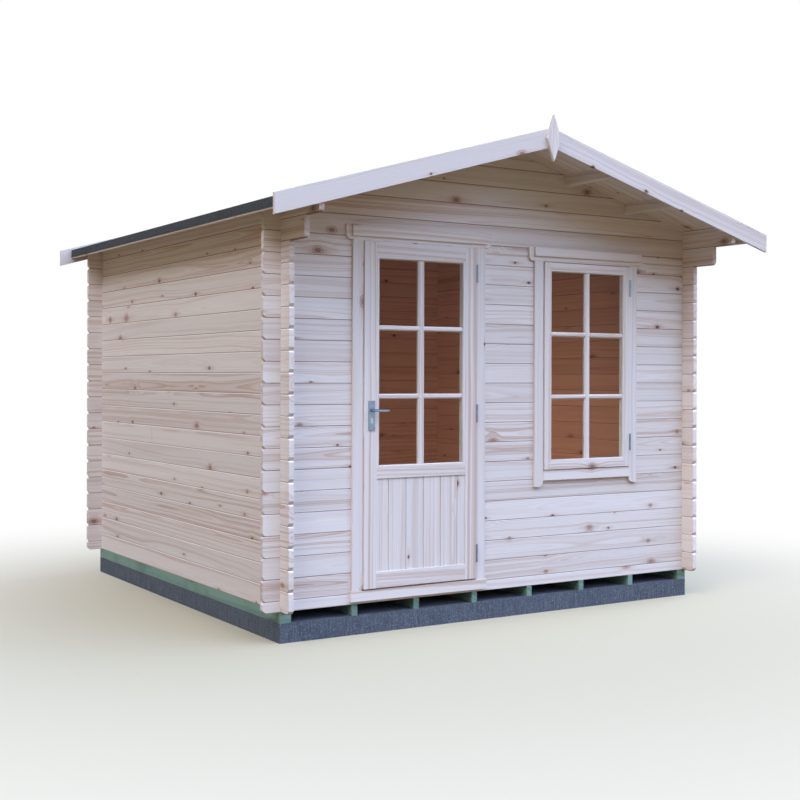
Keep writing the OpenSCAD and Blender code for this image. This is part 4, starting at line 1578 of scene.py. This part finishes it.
@dataclass
class Studio:
    """Pale floor, soft light and the camera."""

    eye: Point = (-4.258, -7.120, 1.352)
    ahead: Point = (0.5283, 0.8491, 0.0)
    lens: float = 56.88
    sensor: float = 36.0
    shift_y: float = -0.0294
    roll: float = 0.16
    floor_half: float = 60.0
    floor_colour: Colour = (0.57, 0.505, 0.362, 1.0)
    floor_bounce: Colour = (0.17, 0.115, 0.05, 1.0)
    floor_rough: float = 0.95
    floor_gloss: float = 0.1
    floor_fade: Pair = (1.3, 5.4)
    fade_middle: Pair = (-0.55, -0.9)
    key_way: Pair = (-62.0, 48.0)
    key_spread: Pair = (22.0, 6.0)
    key_light: Colour = (7.3, 7.45, 7.8, 1.0)
    fill_way: float = 48.0
    fill_turn: Pair = (0.1, 0.8)
    fill_rise: Pair = (0.05, 0.58)
    fill_light: Colour = (2.12, 2.74, 4.05, 1.0)
    back_light: Colour = (0.3, 0.42, 0.75, 1.0)
    back_rise: Pair = (0.35, 0.85)
    low_light: Colour = (0.29, 0.22, 0.12, 1.0)
    white: Colour = (1.0, 1.0, 1.0, 1.0)
    room_place: Point = (-0.8, -0.9, 0.62)
    room_aim: Point = (1.37, 0.35, 0.5)
    room_size: float = 0.8
    room_spread: float = 1.75
    room_power: float = 7.1
    room_colour: Point = (1.0, 0.92, 0.84)

    def build(self) -> None:
        """Builds the floor, the light and the camera."""
        self._floor()
        self._sky()
        self._room_lamp()
        self._camera()

    @staticmethod
    def _seen(graph: Graph) -> NodeSocket:
        """Mask of what the camera sees, straight or by way of metal and glass.

        Args:
            graph: Graph of the floor or the sky.

        Returns:
            1 for a ray of the camera, a reflection or a passage through glass, and 0 for the others.
        """
        ray = graph.node("ShaderNodeLightPath")
        indirect = graph.math("MAXIMUM", ray.outputs["Is Glossy Ray"], ray.outputs["Is Transmission Ray"])
        return graph.math("MAXIMUM", ray.outputs["Is Camera Ray"], indirect)

    def _floor(self) -> None:
        """Adds the floor, which fades to white far from the cabin."""
        size = self.floor_half
        mesh = bpy.data.meshes.new("studio_floor")
        corners = [(-size, -size, 0.0), (size, -size, 0.0), (size, size, 0.0), (-size, size, 0.0)]
        mesh.from_pydata(corners, [], [(0, 1, 2, 3)])
        g = Surface("studio_floor")
        x, y, _ = g.parts(g.place)
        x, y = (g.total(spot, -middle) for spot, middle in zip((x, y), self.fade_middle))
        away = g.math("SQRT", g.squares(x, y))
        seen = self._seen(g)
        g.fill(g.shader, Base_Color=g.mix(seen, self.floor_bounce, self.floor_colour),
               Roughness=self.floor_rough, Specular_IOR_Level=self.floor_gloss)
        white = g.fill(g.node("ShaderNodeEmission"), Color=self.white)
        g.cover("Material Output", g.times(g.smooth(away, *self.floor_fade), seen), g.shader, white)
        add_piece("studio_floor", mesh, g.material)

    def _sky(self) -> None:
        """Adds the soft light: a key from the front left, a broad cool fill and a little from all round."""
        world = bpy.data.worlds.new("studio_sky")
        bpy.context.scene.world = world
        world.use_nodes = True
        g = Graph(world.node_tree)
        way = g.node("ShaderNodeTexCoord").outputs["Generated"]
        x, y, z = g.parts(way)
        turn, rise = (math.radians(angle) for angle in self.key_way)
        aim = (math.cos(rise) * math.sin(turn), -math.cos(rise) * math.cos(turn), math.sin(rise))
        towards = g.fill(g.node("ShaderNodeVectorMath", operation="DOT_PRODUCT"), way, aim)
        rim, core = (math.cos(math.radians(angle)) for angle in self.key_spread)
        key = g.smooth(towards.outputs["Value"], rim, core)
        turn = math.radians(self.fill_way)
        level = g.math("SQRT", g.total(g.squares(x, y), 0.0001))
        heading = g.math("DIVIDE", g.total(g.times(x, math.sin(turn)), g.times(y, -math.cos(turn))), level)
        fill = g.mix(g.smooth(z, *self.fill_rise), self.low_light, self.fill_light)
        back = g.mix(g.smooth(z, *self.back_rise), self.low_light, self.back_light)
        round_light = g.mix(g.smooth(heading, *self.fill_turn), back, fill)
        lit = g.fill(g.tree.nodes["Background"], Color=g.mix(key, round_light, self.key_light, "ADD"))
        white = g.fill(g.node("ShaderNodeBackground"), Color=self.white)
        g.cover("World Output", self._seen(g), lit, white)

    def _room_lamp(self) -> None:
        """Adds the soft lamp inside the cabin."""
        data = bpy.data.lights.new("room", "AREA")
        data.size = self.room_size
        data.spread = self.room_spread
        data.energy = self.room_power
        data.color = self.room_colour
        lamp = bpy.data.objects.new("room", data)
        lamp.visible_camera = False
        lamp.location = self.room_place
        way = Vector(self.room_aim) - Vector(self.room_place)
        lamp.rotation_euler = way.to_track_quat("-Z", "Y").to_euler()
        bpy.context.scene.collection.objects.link(lamp)

    def _camera(self) -> None:
        """Adds the camera."""
        data = bpy.data.cameras.new("camera")
        data.sensor_width = self.sensor
        data.lens = self.lens
        data.shift_y = self.shift_y
        camera = bpy.data.objects.new("camera", data)
        turn = Vector(self.ahead).to_track_quat("-Z", "Y").to_matrix().to_4x4()
        roll = Matrix.Rotation(math.radians(self.roll), 4, "Z")
        camera.matrix_world = Matrix.Translation(self.eye) @ turn @ roll
        bpy.context.scene.collection.objects.link(camera)
        bpy.context.scene.camera = camera


def main() -> None:
    """Builds the cabin around its solids and reports each piece."""
    logging.basicConfig(level=logging.INFO, format="%(name)s: %(message)s")
    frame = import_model()
    bpy.context.scene.view_settings.view_transform = "Standard"
    Studio().build()
    cabin = Cabin(frame["nodes"], Finishes(), Repeats())
    for part in (Base(cabin), Walls(cabin), FloorBoards(cabin), Roof(cabin), Joinery(cabin), Door(cabin)):
        part.build()


if __name__ == "__main__":
    main()
